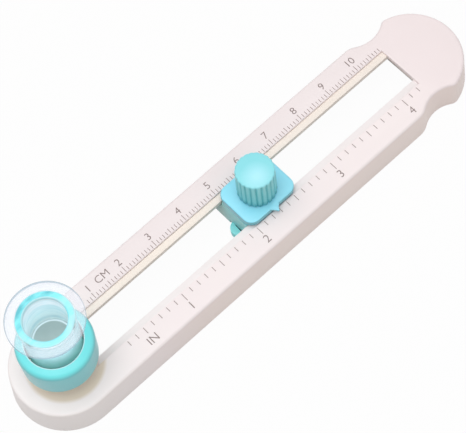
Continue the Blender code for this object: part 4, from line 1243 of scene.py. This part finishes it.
def add_words(body, words, x, y, height):
    """Raised lettering centred on a place, reading along +X."""
    curve = bpy.data.curves.new("words", "FONT")
    curve.body = words
    curve.align_x = "CENTER"
    curve.align_y = "CENTER"
    curve.size = height / FIGURE_HEIGHT_SHARE
    curve.offset = FIGURE_THINNING * height
    curve.extrude = INK / 2
    curve.resolution_u = 3
    item = new_object("words", curve)
    bpy.context.view_layer.update()
    evaluated = item.evaluated_get(bpy.context.evaluated_depsgraph_get())
    mesh = bpy.data.meshes.new_from_object(evaluated)
    mesh.transform(Matrix.Translation((x, y, BEAM_TOP + INK / 2)))
    body.from_mesh(mesh)
    bpy.data.objects.remove(item, do_unlink=True)


def make_numbers(paint):
    """The figures of both scales, and the letters that name them."""
    for name, zero, pitch, numbers, row, height, letters, letters_x, letters_row in FIGURE_ROWS:
        body = bmesh.new()
        for number in numbers:
            add_words(body, str(number), zero + pitch * number, row, height)
        add_words(body, letters, letters_x, letters_row, height)
        add_piece(name, body, paint["ink"], "beam", "white_plastic")


# Stage
def make_floor():
    """A white floor that looks white and still takes shadows."""
    material, tree, shader = new_material("floor_white")
    tree.links.new(mixed(tree, noise(tree, FLOOR_PATCHES), *FLOOR_TONES), shader.inputs["Base Color"])
    feed(tree, shader.inputs, {"Roughness": 0.9, "Specular IOR Level": 0})
    glow = tree.nodes.new("ShaderNodeEmission")
    share = span(tree, seen_ray(tree), 0, FLOOR_GLOW, 0, 1)
    show(tree, blended(tree, share, shader.outputs[0], glow.outputs[0]))
    body = bmesh.new()
    corners = rectangle(-FLOOR_HALF, -FLOOR_HALF, FLOOR_HALF, FLOOR_HALF)
    body.faces.new([body.verts.new((corner.x, corner.y, FLOOR_Z)) for corner in corners])
    finish_mesh("floor", body, material)


def make_world():
    """A white surround that lights the scene more softly than it looks."""
    world = bpy.data.worlds.new("studio")
    bpy.context.scene.world = world
    world.use_nodes = True
    tree = world.node_tree
    ambient = tree.nodes["Background"]
    feed(tree, ambient.inputs, {"Color": (1, 1, 1, 1), "Strength": AMBIENT})
    white = node(tree, "ShaderNodeBackground", {"Color": (1, 1, 1, 1)})
    show(tree, blended(tree, seen_ray(tree), ambient.outputs[0], white.outputs[0]), "World Output")


def make_lamps():
    """A large lamp overhead and a small one from the front."""
    for name, spot, size, watts in LAMPS:
        lamp = bpy.data.lights.new(name, "AREA")
        lamp.size = size * MM
        lamp.energy = watts
        item = new_object(name, lamp)
        item.location = Vector(spot) * MM
        item.rotation_mode = "QUATERNION"
        item.rotation_quaternion = (Vector(LAMP_TARGET) - Vector(spot)).to_track_quat("-Z", "Y")


def make_camera():
    """The photograph's own view."""
    data = bpy.data.cameras.new("camera")
    data.sensor_width = SENSOR
    data.lens = FOCAL_PIXELS / IMAGE_WIDTH * SENSOR
    data.clip_start, data.clip_end = CLIP_METRES
    camera = new_object("camera", data)
    flat = math.cos(ELEVATION)
    back = Vector((math.sin(AZIMUTH) * flat, -math.cos(AZIMUTH) * flat, math.sin(ELEVATION)))
    right = Vector((0, 0, 1)).cross(back).normalized()
    up = back.cross(right)
    side = right * math.cos(ROLL) + up * math.sin(ROLL)
    top = up * math.cos(ROLL) - right * math.sin(ROLL)
    turn = Matrix((side, top, back)).transposed().to_4x4()
    spot = (Vector(TARGET) + back * DISTANCE) * MM
    camera.matrix_world = Matrix.Translation(spot) @ turn
    bpy.context.scene.camera = camera


def paint_kept_nodes(paint):
    """New materials for the CAD solids that stay as they are."""
    for key, names in KEPT_NODES.items():
        for name in names:
            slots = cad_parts[name].data.materials
            slots.clear()
            slots.append(paint[key])


def main():
    """The stage first, then the pieces from the top down."""
    bpy.context.scene.view_settings.view_transform = "Standard"
    paint = make_materials()
    make_camera()
    make_world()
    make_lamps()
    make_floor()
    make_shell(paint)
    make_collar(paint)
    make_cup(paint)
    make_cap(paint)
    make_plate(paint)
    make_knob(paint)
    make_ticks(paint)
    make_numbers(paint)
    make_frame(paint)
    dressed("base_plate", "base_panel", paint["base"], "beam", "white_plastic", 0.2)
    dressed("carriage_block", "slide_block", paint["block"], "carriage", "teal_plastic", 0.15)
    make_nose(paint)
    make_screws(paint)
    make_pad(paint)
    make_blade(paint)
    dressed("keeper_plate", "clamp_keeper", paint["grey"], "keeper", "grey_plastic", 0.12)
    paint_kept_nodes(paint)


main()
